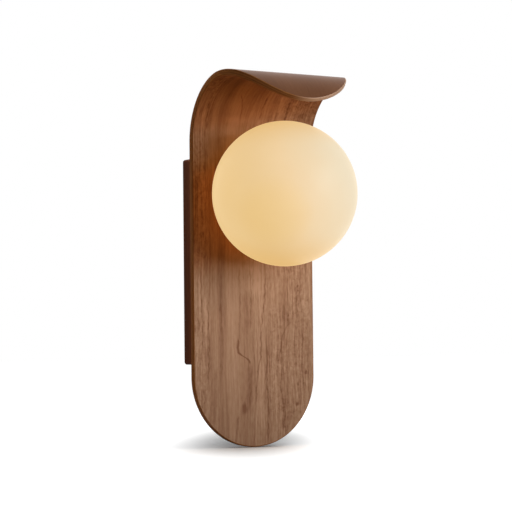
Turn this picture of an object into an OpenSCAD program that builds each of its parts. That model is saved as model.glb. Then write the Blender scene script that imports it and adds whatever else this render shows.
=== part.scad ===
// Wall sconce: a bent plywood panel whose top curls forward as a hood over an opal glass globe.
// Millimetres. The wall is the plane y = 0, the front faces -Y, +X is to the viewer's right, +Z is up.
// The origin is the middle of the wall box, on the wall.

/* [Panel] */
// Width of the bent panel
panel_w = 148; // [136:1:170]
// Thickness of the plywood
panel_t = 6.5; // [5:0.5:10]
// Length of the rounded tail below the wall box
panel_tail = 87; // [76:1:140]
// Inner radius of the back quarter of the hood
hood_r = 62; // [55:1:80]
// Inner radius of the hood's front lip
lip_r = 46.5; // [40:0.5:60]
// Turn of the front lip past the crown, in degrees
lip_turn = 66; // [50:1:75]
// Clear height between the globe and the crown of the hood
hood_gap = 43; // [32:1:70]

/* [Wall box] */
// Width of the wall box
box_w = 132; // [110:1:140]
// Height of the wall box
box_h = 216; // [206:1:260]
// Depth of the wall box, from the wall to the panel
box_d = 28; // [26:1:45]
// Thickness of the box's sides
box_side = 8; // [6:0.5:11]
// Thickness of the box's front board
box_front = 6; // [4.5:0.5:8]
// Corner radius of the box's outside
box_corner = 3; // [1:0.5:6]
// Corner radius of the box's pocket
pocket_corner = 5; // [2:0.5:10]

/* [Wall bracket] */
// Width of the bracket strap
strap_w = 40; // [36:1:56]
// Thickness of the bracket's steel
strap_t = 2; // [1.5:0.25:3]
// Reach of the bracket's ears from the wall
ear_reach = 18; // [16:1:19]
// Inside radius of the bracket's bends
bend_r = 2; // [1:0.5:4]
// Play between the ears and the box
ear_play = 0.3; // [0.1:0.1:0.8]
// Distance between the centres of the wall slots
slot_pitch = 80; // [66:1:92]
// Length of a wall slot, end to end
slot_len = 28; // [12:1:34]
// Width of a wall slot
slot_w = 4.6; // [4:0.1:6]
// Diameter of the cable hole
cable_hole_d = 22; // [14:1:24]

/* [Globe] */
// Outer diameter of the glass globe
globe_d = 150; // [140:1:180]
// Thickness of the glass
globe_wall = 3; // [2:0.25:5]
// Inner diameter of the globe's mouth
mouth_d = 81.6; // [72:0.2:96]
// Distance of the globe's axis below the top of the box
globe_drop = 40.5; // [34:0.5:56]

/* [Globe collar and hub] */
// Thickness of the silicone gasket
gasket_t = 1.5; // [1:0.25:3]
// Thickness of the collar's flange
flange_t = 1.2; // [0.8:0.1:2.5]
// Width of the collar's flange outside the mouth
flange_w = 4; // [2:0.5:6]
// Thickness of the collar's sleeve
sleeve_t = 2.2; // [1.5:0.1:4]
// Length of the collar's sleeve
sleeve_len = 12; // [8:0.5:18]
// Gap for cement between sleeve and glass
cement_gap = 0.3; // [0.1:0.05:0.5]
// Advance of the collar's thread in one turn
thread_lead = 4; // [2:0.5:6]
// Turns of thread between seated and free
thread_turns = 2; // [1:0.5:3]
// Hub thread left in the collar at the last turn
thread_rest = 1; // [0.5:0.5:3]
// Radial clearance of the thread
thread_play = 0.25; // [0.1:0.05:0.5]
// Thickness of the hub's floor
hub_floor = 2.5; // [2:0.25:4]
// Thickness of the hub's threaded wall
hub_wall = 3; // [2:0.25:5]
// Chamfer at the start of the hub's thread
hub_chamfer = 1; // [0.5:0.25:1.5]
// Distance of the hub's screws from its axis
hub_screw_r = 26; // [20:0.5:29]

/* [Stem] */
// Outer diameter of the threaded tube
tube_d = 10; // [8:0.5:12]
// Wall of the threaded tube
tube_wall = 1.5; // [1:0.1:1.8]
// Length of tube that stands out of each nut
tube_end = 1.3; // [0.5:0.1:3]
// Radial play of the tube in its holes
tube_play = 0.2; // [0.1:0.05:0.5]
// Thickness of a nut
nut_t = 3.5; // [2.5:0.25:5]
// Width of a nut's ring, from the tube to a flat
nut_ring = 2; // [1.5:0.25:3]
// Thickness of a washer
washer_t = 1; // [0.5:0.1:2]
// Width of a washer's ring
washer_ring = 4; // [2.5:0.5:5]
// Thickness of a bush's flange and wall
bush_t = 0.8; // [0.5:0.1:1]
// Depth of a bush inside the tube
bush_depth = 4; // [2:0.5:8]

/* [Lampholder] */
// Width of the ceramic body
holder_w = 15; // [13:0.5:20]
// Height of the ceramic body
holder_h = 23; // [21:0.5:30]
// Length of the ceramic body
holder_len = 18; // [15.5:0.5:24]
// Corner radius of the ceramic body
holder_corner = 4; // [1:0.5:6]
// Length of the body's narrower nose
nose_len = 3; // [1.5:0.5:4]
// Step from the body to its nose
nose_step = 1.5; // [0.5:0.25:2]
// Free length for the leads behind the body
lead_room = 9; // [6:0.5:16]
// Thickness of the stirrup's steel
stirrup_t = 1.2; // [0.8:0.1:2]
// Width of the stirrup
stirrup_w = 12; // [12:0.5:14]
// Inside radius of the stirrup's bends
stirrup_bend = 1.5; // [0.5:0.25:2]
// Length of the body that the stirrup's legs hold
leg_grip = 12; // [10:0.5:14]
// Outer diameter of a contact
contact_d = 4; // [3:0.25:4.5]
// Bore of a contact
contact_bore = 1.9; // [1.9:0.05:2.2]
// Clearance round a contact
contact_play = 0.1; // [0.05:0.05:0.2]
// Clearance round a lead where it enters the body
wire_play = 0.4; // [0.2:0.1:0.6]

/* [Bulb] */
// Distance between the bulb's pins
pin_pitch = 9; // [8.5:0.25:9.5]
// Diameter of a pin
pin_d = 1.5; // [1:0.1:1.6]
// Length of pin outside the bulb's base
pin_len = 10; // [8:0.5:12]
// Length of pin inside the bulb's base
pin_root = 4; // [2:0.5:8]
// Diameter of the bulb
bulb_d = 16; // [14.5:0.5:24]
// Length of the bulb's base
base_len = 12; // [9:0.5:20]
// Length of the straight part of the envelope
envelope_len = 30; // [15:1:45]
// Thickness of the envelope
envelope_t = 1; // [0.6:0.1:1.5]
// Length of the base inside the envelope
spigot_len = 3; // [1:0.5:5]
// Play between the spigot and the envelope
spigot_play = 0.1; // [0.05:0.05:0.3]
// Width across the corners of the LED column
core_d = 9; // [6:0.5:11]
// Size of an LED chip
chip_size = 2.6; // [1.5:0.1:3]
// Height of an LED chip on its column
chip_t = 0.6; // [0.3:0.1:1]
// Chips along each side of the column
chip_rows = 5; // [2:1:6]

/* [Terminal block] */
// Distance between the poles
pole_pitch = 9.5; // [9:0.5:12]
// Length of the block along its wires
block_len = 18; // [16:0.5:24]
// Height of the block on the bracket
block_h = 13; // [12:0.5:14]
// Wall outside the end poles
block_end = 5.5; // [4:0.5:8]
// Distance from the block to the bracket's lower bend
block_gap = 10.7; // [6:0.1:14]
// Outer diameter of a brass insert
insert_d = 5; // [4.4:0.2:5.6]
// Bore of a brass insert
insert_bore = 2.6; // [2.4:0.1:3]
// Material under an insert
block_floor = 4; // [2:0.25:5]
// Clearance of the inserts and of the block's screws
block_play = 0.1; // [0.05:0.05:0.2]
// Distance of a clamping screw from the block's middle
clamp_offset = 4.5; // [3.5:0.25:5.5]

/* [Screws] */
// Diameter of the box's lock screws
lock_d = 4; // [3:0.5:5]
// Distance of the lock screws from the wall
lock_y = 12; // [9:0.5:13]
// Length of lock screw past the ear
lock_past = 3.7; // [1:0.1:6]
// Diameter of the panel's wood screws
wood_d = 3.5; // [3:0.25:4]
// Bite of the wood screws into the panel
wood_bite = 4.5; // [2:0.25:4.5]
// Distance of the wood screws from the pocket's sides
wood_inset_x = 12; // [9:0.5:20]
// Distance of the wood screws from the pocket's top and bottom
wood_inset_z = 18; // [10:0.5:24]
// Diameter of the hub's, lampholder's and terminal's screws
small_d = 3; // [2.5:0.1:3]
// Length of hub screw past the panel, in the front board
hub_screw_past = 3; // [1:0.5:4]
// Depth of a lampholder screw in the body
holder_screw_depth = 4; // [2.5:0.25:4.25]
// Diameter of the terminal's clamping screws
clamp_d = 2.4; // [2:0.1:2.5]
// Diameter of the earth post's screw
earth_d = 4; // [3:0.5:5]
// Clearance of a screw in the hole it grips
screw_play = 0.05; // [0.02:0.01:0.1]
// Clearance of a screw in a plain hole
hole_play = 0.3; // [0.1:0.05:0.5]

/* [Leads] */
// Diameter of a lead over its insulation
lead_d = 1.8; // [1.2:0.1:1.8]
// Thickness of the earth lug
lug_t = 0.8; // [0.5:0.1:1.2]
// Length of the lug from the stem's axis to the end of its barrel
lug_len = 22; // [20:0.5:28]
// Length of the lug's barrel
barrel_len = 6; // [4:0.5:8]
// Outer diameter of the lug's barrel
barrel_d = 3.8; // [3.2:0.1:5]
// Bore of the lug's barrel
barrel_bore = 2.2; // [2:0.1:2.6]
// Turn of the lug below the level, in degrees
lug_turn = 60; // [40:1:80]

/* [Hidden] */
$fn = 96;
over = 1;

// Colours
walnut = "#8a6448";
dark_walnut = "#4a2c1e";
opal = "#f2dfb4";
zinc = "#b9bcbd";
bright_steel = "#cfd2d4";
white_metal = "#e6e4de";
steatite = "#efece4";
brass = "#c9a352";
silicone = "#dedcd6";
frosted = "#f7f1df";
white_plastic = "#f1f0ec";
led_yellow = "#f3d873";
live_brown = "#6b3f26";
neutral_blue = "#3b6db3";
earth_green = "#6f9a35";

// Planes across the lamp, from the wall to the front
board_y = -(box_d - box_front);
face_y = -(box_d + panel_t);
flange_y = face_y - gasket_t;
mouth_y = flange_y - flange_t;
floor_y = face_y - hub_floor;

// Globe, collar and hub
globe_z = box_h / 2 - globe_drop;
globe_r = globe_d / 2;
mouth_r = mouth_d / 2;
globe_y = mouth_y - sqrt(pow(globe_r - globe_wall, 2) - pow(mouth_r, 2));
flange_r = mouth_r + flange_w;
sleeve_r = mouth_r - cement_gap;
thread_r = sleeve_r - sleeve_t;
hub_r = thread_r - thread_play;
hub_h = gasket_t + thread_lead * thread_turns + thread_rest;
gasket_gap = 0.6;
hub_screw_count = 3;

// Panel: the flat part, the back quarter of the hood and the front lip
curl_y = face_y - hood_r;
curl_z = globe_z + globe_r + hood_gap - hood_r;
lip_z = curl_z + hood_r - lip_r;
tail_z = -box_h / 2 - panel_tail + panel_w / 2;
quarter = 90;
mid_hood_r = hood_r + panel_t / 2;
mid_lip_r = lip_r + panel_t / 2;
hood_arc = mid_hood_r * PI / 2;
sheet_len = hood_arc + mid_lip_r * lip_turn * PI / 180;
trim_steps = 30;
trim_over = 2;
trim_past = 10;
lip_spare = 5;

// Bracket and its screws
strap_half = box_h / 2 - box_side - ear_play;
lock_head_d = 2 * lock_d;
lock_head_h = 3;
earth_x = -11;
earth_z = strap_half - 20;
earth_head_h = 2.4;
cup_t = 0.8;
cup_ring = 2.5;
slot_cut_w = 0.9;
slot_cut_depth = 1;

// Wood screws
wood_x = box_w / 2 - box_side - wood_inset_x;
wood_z = box_h / 2 - box_side - wood_inset_z;
wood_head_d = 2 * wood_d;
wood_head_h = 2.2;

// Stem: its stack behind the front board and in front of the hub's floor
tube_r = tube_d / 2;
tube_bore_r = tube_r - tube_wall;
tube_hole_r = tube_r + tube_play;
washer_r = tube_r + washer_ring;
rear_lug_y = board_y + washer_t;
rear_nut_y = rear_lug_y + lug_t;
rear_tube_y = rear_nut_y + nut_t + tube_end;
front_washer_y = floor_y - stirrup_t;
front_nut_y = front_washer_y - washer_t;
front_tube_y = front_nut_y - nut_t - tube_end;
nut_corner_r = (tube_r + nut_ring) / cos(30);
nut_play = 0.05;
bush_play = 0.05;

// Lampholder
holder_y = front_tube_y - bush_t - lead_room;
holder_front_y = holder_y - holder_len;
leg_half = holder_h / 2 + stirrup_t;
leg_reach = floor_y - (holder_y - leg_grip);
holder_screw_y = holder_y - leg_grip * 2 / 3;
entry_depth = 2;
wire_stop = 2;
small_head_d = 5.6;
small_head_h = 2;

// Bulb
bulb_r = bulb_d / 2;
foot_step = 1.5;
foot_len = 2;
envelope_y = holder_front_y - base_len;
envelope_bore_r = bulb_r - envelope_t;
spigot_r = envelope_bore_r - spigot_play;
core_base_y = envelope_y - spigot_len;
core_len = envelope_len - spigot_len;
core_flat = core_d / 2 * cos(30);
core_sides = 6;

// Terminal block
pole_count = 3;
block_w = (pole_count - 1) * pole_pitch + 2 * block_end;
block_z = -(strap_half - strap_t - bend_r - block_gap - block_len / 2);
pole_y = -(strap_t + block_floor + insert_d / 2);
block_top_y = -(strap_t + block_h);
insert_len = block_len - 2;
clamp_head_d = 3.4;
clamp_head_h = 2;
clamp_sink = 1;
fixing_sink = 3;

// Leads, from the terminal block through the stem to the lampholder, and to the earth lug
lead_sides = 8;
lead_steps = 3;
lead_grip = 2;
lead_out_z = block_z + block_len / 2 + 1;
lead_x = 16;
lead_y = pole_y - 0.5;
lead_apart = lead_d / 2 + 0.3;
lead_hole_r = lead_d / 2 + 0.15;
earth_lead_x = 23;
earth_lead_y = -13;
straight_half = slot_pitch / 4;
barrel_axis_y = rear_lug_y + lug_t / 2 + barrel_d / 2;

// Route of the live lead (side -1) and of the neutral lead (side 1)
function lamp_route(side) = let (
    stem_z = globe_z - side * lead_apart,
    pin_z = globe_z - side * pin_pitch / 2,
    near_x = side * (lead_x - 5),
    run_x = side * lead_x
) [
    [side * pole_pitch, pole_y, block_z + lead_grip],
    [side * pole_pitch, pole_y, lead_out_z],
    [near_x, lead_y, lead_out_z + 9],
    [run_x - side, lead_y, lead_out_z + 22],
    [run_x, lead_y, -straight_half],
    [run_x, lead_y, straight_half],
    [run_x - side, lead_y, stem_z - 22.5],
    [near_x, pole_y, stem_z - 9],
    [side * 5, pole_y, stem_z - 2.2],
    [side * 1.5, rear_tube_y + 4.9, stem_z - 0.2],
    [0, rear_tube_y + 0.9, stem_z],
    [0, rear_tube_y - bush_depth, stem_z],
    [0, (rear_tube_y + front_tube_y) / 2, stem_z],
    [0, front_tube_y, stem_z],
    [0, front_tube_y - lead_room / 3, stem_z - side * lead_apart / 2],
    [0, holder_y + 3.8, pin_z + side * 0.7],
    [0, holder_y + 1.3, pin_z],
    [0, holder_y - 1.2, pin_z],
    [0, holder_y - 3.2, pin_z],
    [0, holder_y - 6.2, pin_z]
];

// Point on the line of the lug's barrel, at the distance d from the stem's axis
function lug_point(d) = [d * cos(lug_turn), barrel_axis_y, globe_z - d * sin(lug_turn)];

earth_route = [
    [0, pole_y, block_z + lead_grip],
    [0, pole_y, lead_out_z],
    [3, pole_y - 1.5, lead_out_z + 6],
    [12, earth_lead_y + 1, lead_out_z + 12],
    [earth_lead_x - 3, earth_lead_y, lead_out_z + 24],
    [earth_lead_x, earth_lead_y, -straight_half],
    [earth_lead_x, earth_lead_y, straight_half / 2],
    [earth_lead_x - 2, earth_lead_y - 2, globe_z - 39.5],
    lug_point(lug_len + 11) + [0, 0.7, 0],
    lug_point(lug_len + 4),
    lug_point(lug_len),
    lug_point(lug_len - barrel_len + lead_grip)
];

// A flat shape drawn across the lamp, extruded from the plane y toward the front
module across(y, depth) {
    translate([0, y, 0]) rotate([90, 0, 0]) linear_extrude(depth) children();
}

// A side profile drawn as [y, z], extruded across the width w
module along_x(w) {
    rotate([90, 0, 90]) linear_extrude(w, center = true) children();
}

// A round bar along the lamp's depth, from the plane y0 forward to y1
module bar_y(x, z, y0, y1, r) {
    translate([x, y0, z]) rotate([90, 0, 0]) cylinder(h = y0 - y1, r = r);
}

// A turned piece on the globe's axis, its profile drawn as [radius, distance in front of y]
module turned(y) {
    translate([0, y, globe_z]) rotate([90, 0, 0]) rotate_extrude() children();
}

module rounded_rect(w, h, r) {
    square([w - 2 * r, h], center = true);
    square([w, h - 2 * r], center = true);
    for (sx = [-1, 1], sz = [-1, 1]) {
        translate([sx * (w / 2 - r), sz * (h / 2 - r)]) circle(r);
    }
}

module ring_section(r_in, t) {
    difference() {
        circle(r_in + t);
        circle(r_in);
    }
}

// Side profile of a strip with both ends bent forward, its back on y = 0
module channel_profile(half, t, r, reach) {
    flat_half = half - t - r;
    translate([-t, -flat_half]) square([t, 2 * flat_half]);
    for (end = [0, 1]) {
        mirror([0, end]) {
            translate([-t - r, flat_half]) intersection() {
                ring_section(r, t);
                square(r + t);
            }
            translate([-reach, half - t]) square([reach - t - r, t]);
        }
    }
}

// A screw with a slotted cylinder head, its seat on z = 0 and its shank along -Z
module cheese_screw(head_d, head_h, d, length) {
    difference() {
        cylinder(h = head_h, d = head_d);
        translate([0, 0, head_h - slot_cut_depth / 2]) {
            cube([head_d + over, slot_cut_w, slot_cut_depth + over / 10], center = true);
        }
    }
    translate([0, 0, -length]) cylinder(h = length, d = d);
}

// A screw driven from the front, its seat on the plane y
module front_screw(x, y, z, head_d, head_h, d, length) {
    translate([x, y, z]) rotate([90, 0, 0]) cheese_screw(head_d, head_h, d, length);
}

// Point of the hood at x, at the developed length s past the flat and the height h over the inner face
function curl_angle(s) =
    s <= hood_arc ? s / mid_hood_r * 180 / PI : quarter + (s - hood_arc) / mid_lip_r * 180 / PI;
function curl_centre(s) = s <= hood_arc ? curl_z : lip_z;
function curl_inner(s) = s <= hood_arc ? hood_r : lip_r;
function curl_point(x, s, h) =
    let (a = curl_angle(s), r = curl_inner(s) + h)
    [x, curl_y + r * cos(a), curl_centre(s) + r * sin(a)];

// Half circle of the hood's end, drawn on the developed sheet: [half width, length] at the angle a
function trim_at(a) = [panel_w / 2 * cos(a), sheet_len - panel_w / 2 * (1 - sin(a))];
function trim_line() = concat(
    [for (i = [0:trim_steps]) trim_at(quarter * i / trim_steps)],
    [[-over, sheet_len + trim_past]]
);

// What is cut from one side of the hood to leave its rounded end, with edges square to the sheet
module hood_trim(side) {
    line = trim_line();
    far = panel_w / 2 + trim_over;
    low = -trim_over;
    high = panel_t + trim_over;
    points = [for (p = line) for (c = [[p[0], low], [p[0], high], [far, high], [far, low]])
        curl_point(c[0], p[1], c[1])];
    last = 4 * (len(line) - 1);
    faces = concat(
        [[0, 2, 1], [0, 3, 2]],
        [for (i = [0:len(line) - 2]) for (j = [0:3]) for (f = quad_faces(4 * i, j)) f],
        [[last, last + 1, last + 2], [last, last + 2, last + 3]]
    );
    mirror([side < 0 ? 1 : 0, 0, 0]) polyhedron(points, faces);
}

function quad_faces(base, j) =
    let (a = base + j, b = base + (j + 1) % 4)
    [[a, b + 4, a + 4], [a, b, b + 4]];

module lip_wedge(turn) {
    reach = 2 * (lip_r + panel_t);
    parts = 3;
    polygon(concat([[0, 0]], [for (i = [0:parts])
        reach * [cos(quarter + turn * i / parts), sin(quarter + turn * i / parts)]]));
}

module curl_profile() {
    translate([curl_y, curl_z]) intersection() {
        ring_section(hood_r, panel_t);
        square(hood_r + panel_t + over);
    }
    translate([curl_y, lip_z]) intersection() {
        ring_section(lip_r, panel_t);
        lip_wedge(lip_turn + lip_spare);
    }
}

module panel_outline() {
    translate([0, tail_z]) circle(panel_w / 2);
    translate([-panel_w / 2, tail_z]) square([panel_w, curl_z - tail_z]);
}

module wood_screw_places() {
    for (sx = [-1, 1], sz = [-1, 1]) translate([sx * wood_x, 0, sz * wood_z]) children();
}

module hub_screw_places() {
    for (i = [0:hub_screw_count - 1]) {
        a = quarter + i * 360 / hub_screw_count;
        translate([hub_screw_r * cos(a), 0, globe_z + hub_screw_r * sin(a)]) children();
    }
}

module hub_screw_holes(y0, y1) {
    hub_screw_places() bar_y(0, 0, y0, y1, small_d / 2 + screw_play);
}

hub_screw_tip_y = -box_d + hub_screw_past;

module bent_panel() {
    color(walnut) difference() {
        union() {
            across(-box_d, panel_t) panel_outline();
            along_x(panel_w) curl_profile();
        }
        for (side = [-1, 1]) hood_trim(side);
        bar_y(0, globe_z, -box_d + over, face_y - over, tube_hole_r);
        hub_screw_holes(-box_d + over, face_y - over);
        wood_screw_places() {
            bar_y(0, 0, -box_d + over, -box_d - wood_bite - hole_play, wood_d / 2 + screw_play);
        }
    }
}

module wall_box() {
    color(dark_walnut) difference() {
        across(0, box_d) rounded_rect(box_w, box_h, box_corner);
        across(over, box_d - box_front + over) {
            rounded_rect(box_w - 2 * box_side, box_h - 2 * box_side, pocket_corner);
        }
        bar_y(0, globe_z, board_y + over, -box_d - over, tube_hole_r);
        hub_screw_holes(hub_screw_tip_y + hole_play, -box_d - over);
        wood_screw_places() {
            bar_y(0, 0, board_y + over, -box_d - over, wood_d / 2 + hole_play);
            translate([0, board_y, 0]) rotate([90, 0, 0]) {
                cylinder(h = wood_head_h, d1 = wood_head_d + 2 * hole_play, d2 = wood_d + 2 * hole_play);
            }
        }
        translate([0, -lock_y, 0]) {
            cylinder(h = box_h + 2 * over, d = lock_d + 2 * hole_play, center = true);
        }
    }
}

module wall_slot() {
    square([slot_w, slot_len - slot_w], center = true);
    for (end = [-1, 1]) translate([0, end * (slot_len - slot_w) / 2]) circle(d = slot_w);
}

module wall_bracket() {
    color(zinc) difference() {
        along_x(strap_w) channel_profile(strap_half, strap_t, bend_r, ear_reach);
        across(over, strap_t + 2 * over) {
            for (end = [-1, 1]) translate([0, end * slot_pitch / 2]) wall_slot();
            circle(d = cable_hole_d);
            translate([earth_x, earth_z]) circle(d = earth_d + 2 * screw_play);
            translate([pole_pitch / 2, block_z]) circle(d = small_d + 2 * screw_play);
        }
        translate([0, -lock_y, 0]) {
            cylinder(h = box_h, d = lock_d + 2 * screw_play, center = true);
        }
    }
}

module box_lock_screws() {
    color(bright_steel) for (end = [0, 1]) {
        mirror([0, 0, end]) translate([0, -lock_y, box_h / 2]) {
            cheese_screw(lock_head_d, lock_head_h, lock_d, box_side + ear_play + strap_t + lock_past);
        }
    }
}

module panel_screws() {
    color(bright_steel) wood_screw_places() {
        translate([0, board_y, 0]) rotate([90, 0, 0]) {
            difference() {
                cylinder(h = wood_head_h, d1 = wood_head_d, d2 = wood_d);
                cube([wood_head_d + over, slot_cut_w, 2 * slot_cut_depth], center = true);
            }
            translate([0, 0, wood_head_h]) {
                cylinder(h = box_front + wood_bite - wood_head_h, d = wood_d);
            }
        }
    }
}

module globe() {
    color(opal) translate([0, globe_y, globe_z]) rotate([90, 0, 0]) difference() {
        sphere(globe_r);
        sphere(globe_r - globe_wall);
        translate([0, 0, globe_y - mouth_y - globe_r]) cylinder(h = globe_r, r = globe_r);
    }
}

module globe_collar() {
    color(white_metal) turned(flange_y) polygon([
        [thread_r, 0], [flange_r, 0], [flange_r, flange_t], [sleeve_r, flange_t],
        [sleeve_r, sleeve_len], [thread_r, sleeve_len]
    ]);
}

module globe_gasket() {
    color(silicone) turned(face_y) {
        translate([hub_r + gasket_gap, 0]) square([flange_r - hub_r - 2 * gasket_gap, gasket_t]);
    }
}

module globe_hub() {
    color(white_metal) difference() {
        turned(face_y) polygon([
            [0, 0], [hub_r, 0], [hub_r, hub_h - hub_chamfer], [hub_r - hub_chamfer, hub_h],
            [hub_r - hub_wall, hub_h], [hub_r - hub_wall, hub_floor], [0, hub_floor]
        ]);
        bar_y(0, globe_z, face_y + over, floor_y - over, tube_hole_r);
        hub_screw_holes(face_y + over, floor_y - over);
    }
}

module hub_screws() {
    color(bright_steel) hub_screw_places() {
        front_screw(0, floor_y, 0, small_head_d, small_head_h, small_d, hub_screw_tip_y - floor_y);
    }
}

module threaded_tube() {
    color(brass) difference() {
        bar_y(0, globe_z, rear_tube_y, front_tube_y, tube_r);
        bar_y(0, globe_z, rear_tube_y + over, front_tube_y - over, tube_bore_r);
    }
}

module stem_nut(y) {
    difference() {
        translate([0, y, globe_z]) rotate([90, 0, 0]) cylinder(h = nut_t, r = nut_corner_r, $fn = 6);
        bar_y(0, globe_z, y + over, y - nut_t - over, tube_r + nut_play);
    }
}

module tube_nuts() {
    color(brass) {
        stem_nut(rear_nut_y + nut_t);
        stem_nut(front_nut_y);
    }
}

module tube_washers() {
    color(zinc) for (y = [rear_lug_y, front_washer_y]) {
        difference() {
            bar_y(0, globe_z, y, y - washer_t, washer_r);
            bar_y(0, globe_z, y + over, y - washer_t - over, tube_hole_r);
        }
    }
}

// A ferrule for the end of the tube, not yet bored: the flange stands on z = 0, the sleeve below it
module bush_form() {
    cylinder(h = bush_t, r = tube_r);
    translate([0, 0, -bush_depth]) cylinder(h = bush_depth, r = tube_bore_r - bush_play);
}

// The rear ferrule, open from end to end
module rear_bush() {
    translate([0, rear_tube_y, globe_z]) rotate([-90, 0, 0]) difference() {
        bush_form();
        translate([0, 0, -bush_depth - over]) {
            cylinder(h = bush_depth + bush_t + 2 * over, r = tube_bore_r - bush_t);
        }
    }
}

// The front ferrule, with a web across its inner end and a hole in the web for each lead
module front_bush() {
    translate([0, front_tube_y, globe_z]) rotate([90, 0, 0]) difference() {
        bush_form();
        translate([0, 0, bush_t - bush_depth]) {
            cylinder(h = bush_depth + over, r = tube_bore_r - bush_t);
        }
        for (side = [-1, 1]) translate([0, side * lead_apart, -bush_depth - over]) {
            cylinder(h = bush_t + 2 * over, r = lead_hole_r);
        }
    }
}

module tube_bushes() {
    color(white_plastic) {
        rear_bush();
        front_bush();
    }
}

module lampholder_stirrup() {
    color(zinc) difference() {
        translate([0, floor_y, globe_z]) along_x(stirrup_w) {
            channel_profile(leg_half, stirrup_t, stirrup_bend, leg_reach);
        }
        bar_y(0, globe_z, floor_y + over, floor_y - stirrup_t - over, tube_hole_r);
        translate([0, holder_screw_y, globe_z]) {
            cylinder(h = 2 * (leg_half + over), d = small_d + 2 * hole_play, center = true);
        }
    }
}

module contact_places() {
    for (end = [-1, 1]) translate([0, 0, globe_z + end * pin_pitch / 2]) children();
}

module lampholder_body() {
    shoulder = holder_len - nose_len;
    nose_corner = holder_corner - nose_step / 2;
    color(steatite) difference() {
        translate([0, 0, globe_z]) union() {
            across(holder_y, shoulder) rounded_rect(holder_w, holder_h, holder_corner);
            across(holder_y - shoulder, nose_len) {
                rounded_rect(holder_w - 2 * nose_step, holder_h - 2 * nose_step, nose_corner);
            }
        }
        contact_places() {
            bar_y(0, 0, holder_y + over, holder_y - wire_stop - over, lead_d / 2 + wire_play);
            bar_y(0, 0, holder_y - wire_stop, holder_front_y + entry_depth, contact_d / 2 + contact_play);
            bar_y(0, 0, holder_front_y + entry_depth + over, holder_front_y - over, contact_bore / 2);
        }
        translate([0, holder_screw_y, globe_z]) for (end = [0, 1]) mirror([0, 0, end]) {
            translate([0, 0, holder_h / 2 - holder_screw_depth - hole_play]) {
                cylinder(h = holder_screw_depth + hole_play + over, d = small_d + 2 * screw_play);
            }
        }
    }
}

module lampholder_contacts() {
    y0 = holder_y - wire_stop - contact_play;
    y1 = holder_front_y + entry_depth + contact_play;
    color(brass) contact_places() difference() {
        bar_y(0, 0, y0, y1, contact_d / 2);
        bar_y(0, 0, y0 + over, y1 - over, contact_bore / 2);
    }
}

module lampholder_screws() {
    color(bright_steel) translate([0, holder_screw_y, globe_z]) for (end = [0, 1]) {
        mirror([0, 0, end]) translate([0, 0, leg_half]) {
            cheese_screw(small_head_d, small_head_h, small_d, stirrup_t + holder_screw_depth);
        }
    }
}

module bulb_base() {
    color(white_plastic) difference() {
        turned(holder_front_y) polygon([
            [0, 0], [bulb_r - foot_step, 0], [bulb_r - foot_step, foot_len], [bulb_r, foot_len + foot_step],
            [bulb_r, base_len], [spigot_r, base_len], [spigot_r, base_len + spigot_len],
            [0, base_len + spigot_len]
        ]);
        contact_places() {
            bar_y(0, 0, holder_front_y + over, holder_front_y - pin_root, pin_d / 2 + screw_play);
        }
    }
}

module bulb_pins() {
    color(bright_steel) contact_places() {
        bar_y(0, 0, holder_front_y + pin_len, holder_front_y - pin_root, pin_d / 2);
    }
}

module bulb_envelope() {
    color(frosted) translate([0, envelope_y, globe_z]) rotate([90, 0, 0]) difference() {
        union() {
            cylinder(h = envelope_len, r = bulb_r);
            translate([0, 0, envelope_len]) sphere(bulb_r);
        }
        translate([0, 0, -bulb_r]) cylinder(h = bulb_r + envelope_len, r = envelope_bore_r);
        translate([0, 0, envelope_len]) sphere(envelope_bore_r);
    }
}

module bulb_led_core() {
    row_pitch = core_len / chip_rows;
    color(led_yellow) translate([0, core_base_y, globe_z]) rotate([90, 0, 0]) {
        cylinder(h = core_len, d = core_d, $fn = core_sides);
        for (side = [0:core_sides - 1], row = [0:chip_rows - 1]) {
            rotate([0, 0, (side + 0.5) * 360 / core_sides]) {
                translate([core_flat, 0, (row + 0.5) * row_pitch]) {
                    cube([2 * chip_t, chip_size, chip_size], center = true);
                }
            }
        }
    }
}

module pole_places() {
    for (i = [0:pole_count - 1]) {
        translate([(i - (pole_count - 1) / 2) * pole_pitch, 0, block_z]) children();
    }
}

module clamp_places() {
    pole_places() for (end = [-1, 1]) translate([0, 0, end * clamp_offset]) children();
}

module terminal_block() {
    color(white_plastic) difference() {
        translate([0, 0, block_z]) across(-strap_t, block_h) square([block_w, block_len], center = true);
        pole_places() translate([0, pole_y, 0]) {
            cylinder(h = block_len + 2 * over, d = insert_d + 2 * block_play, center = true);
        }
        clamp_places() bar_y(0, 0, pole_y, block_top_y - over, clamp_head_d / 2 + block_play);
        bar_y(pole_pitch / 2, block_z, -strap_t + over, block_top_y - over, small_d / 2 + block_play);
        bar_y(pole_pitch / 2, block_z, block_top_y + fixing_sink, block_top_y - over,
            small_head_d / 2 + block_play);
    }
}

module terminal_inserts() {
    color(brass) difference() {
        pole_places() translate([0, pole_y, 0]) difference() {
            cylinder(h = insert_len, d = insert_d, center = true);
            cylinder(h = insert_len + 2 * over, d = insert_bore, center = true);
        }
        clamp_places() bar_y(0, 0, pole_y, pole_y - insert_d, clamp_d / 2 + screw_play);
    }
}

module terminal_screws() {
    seat_y = block_top_y + clamp_sink + clamp_head_h;
    tip_y = pole_y - lead_d / 2 - screw_play;
    color(bright_steel) clamp_places() {
        front_screw(0, seat_y, 0, clamp_head_d, clamp_head_h, clamp_d, tip_y - seat_y);
    }
}

module terminal_fixing_screw() {
    color(bright_steel) {
        front_screw(pole_pitch / 2, block_top_y + fixing_sink, block_z, small_head_d, small_head_h, small_d,
            -strap_t / 2 - block_top_y - fixing_sink);
    }
}

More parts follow.
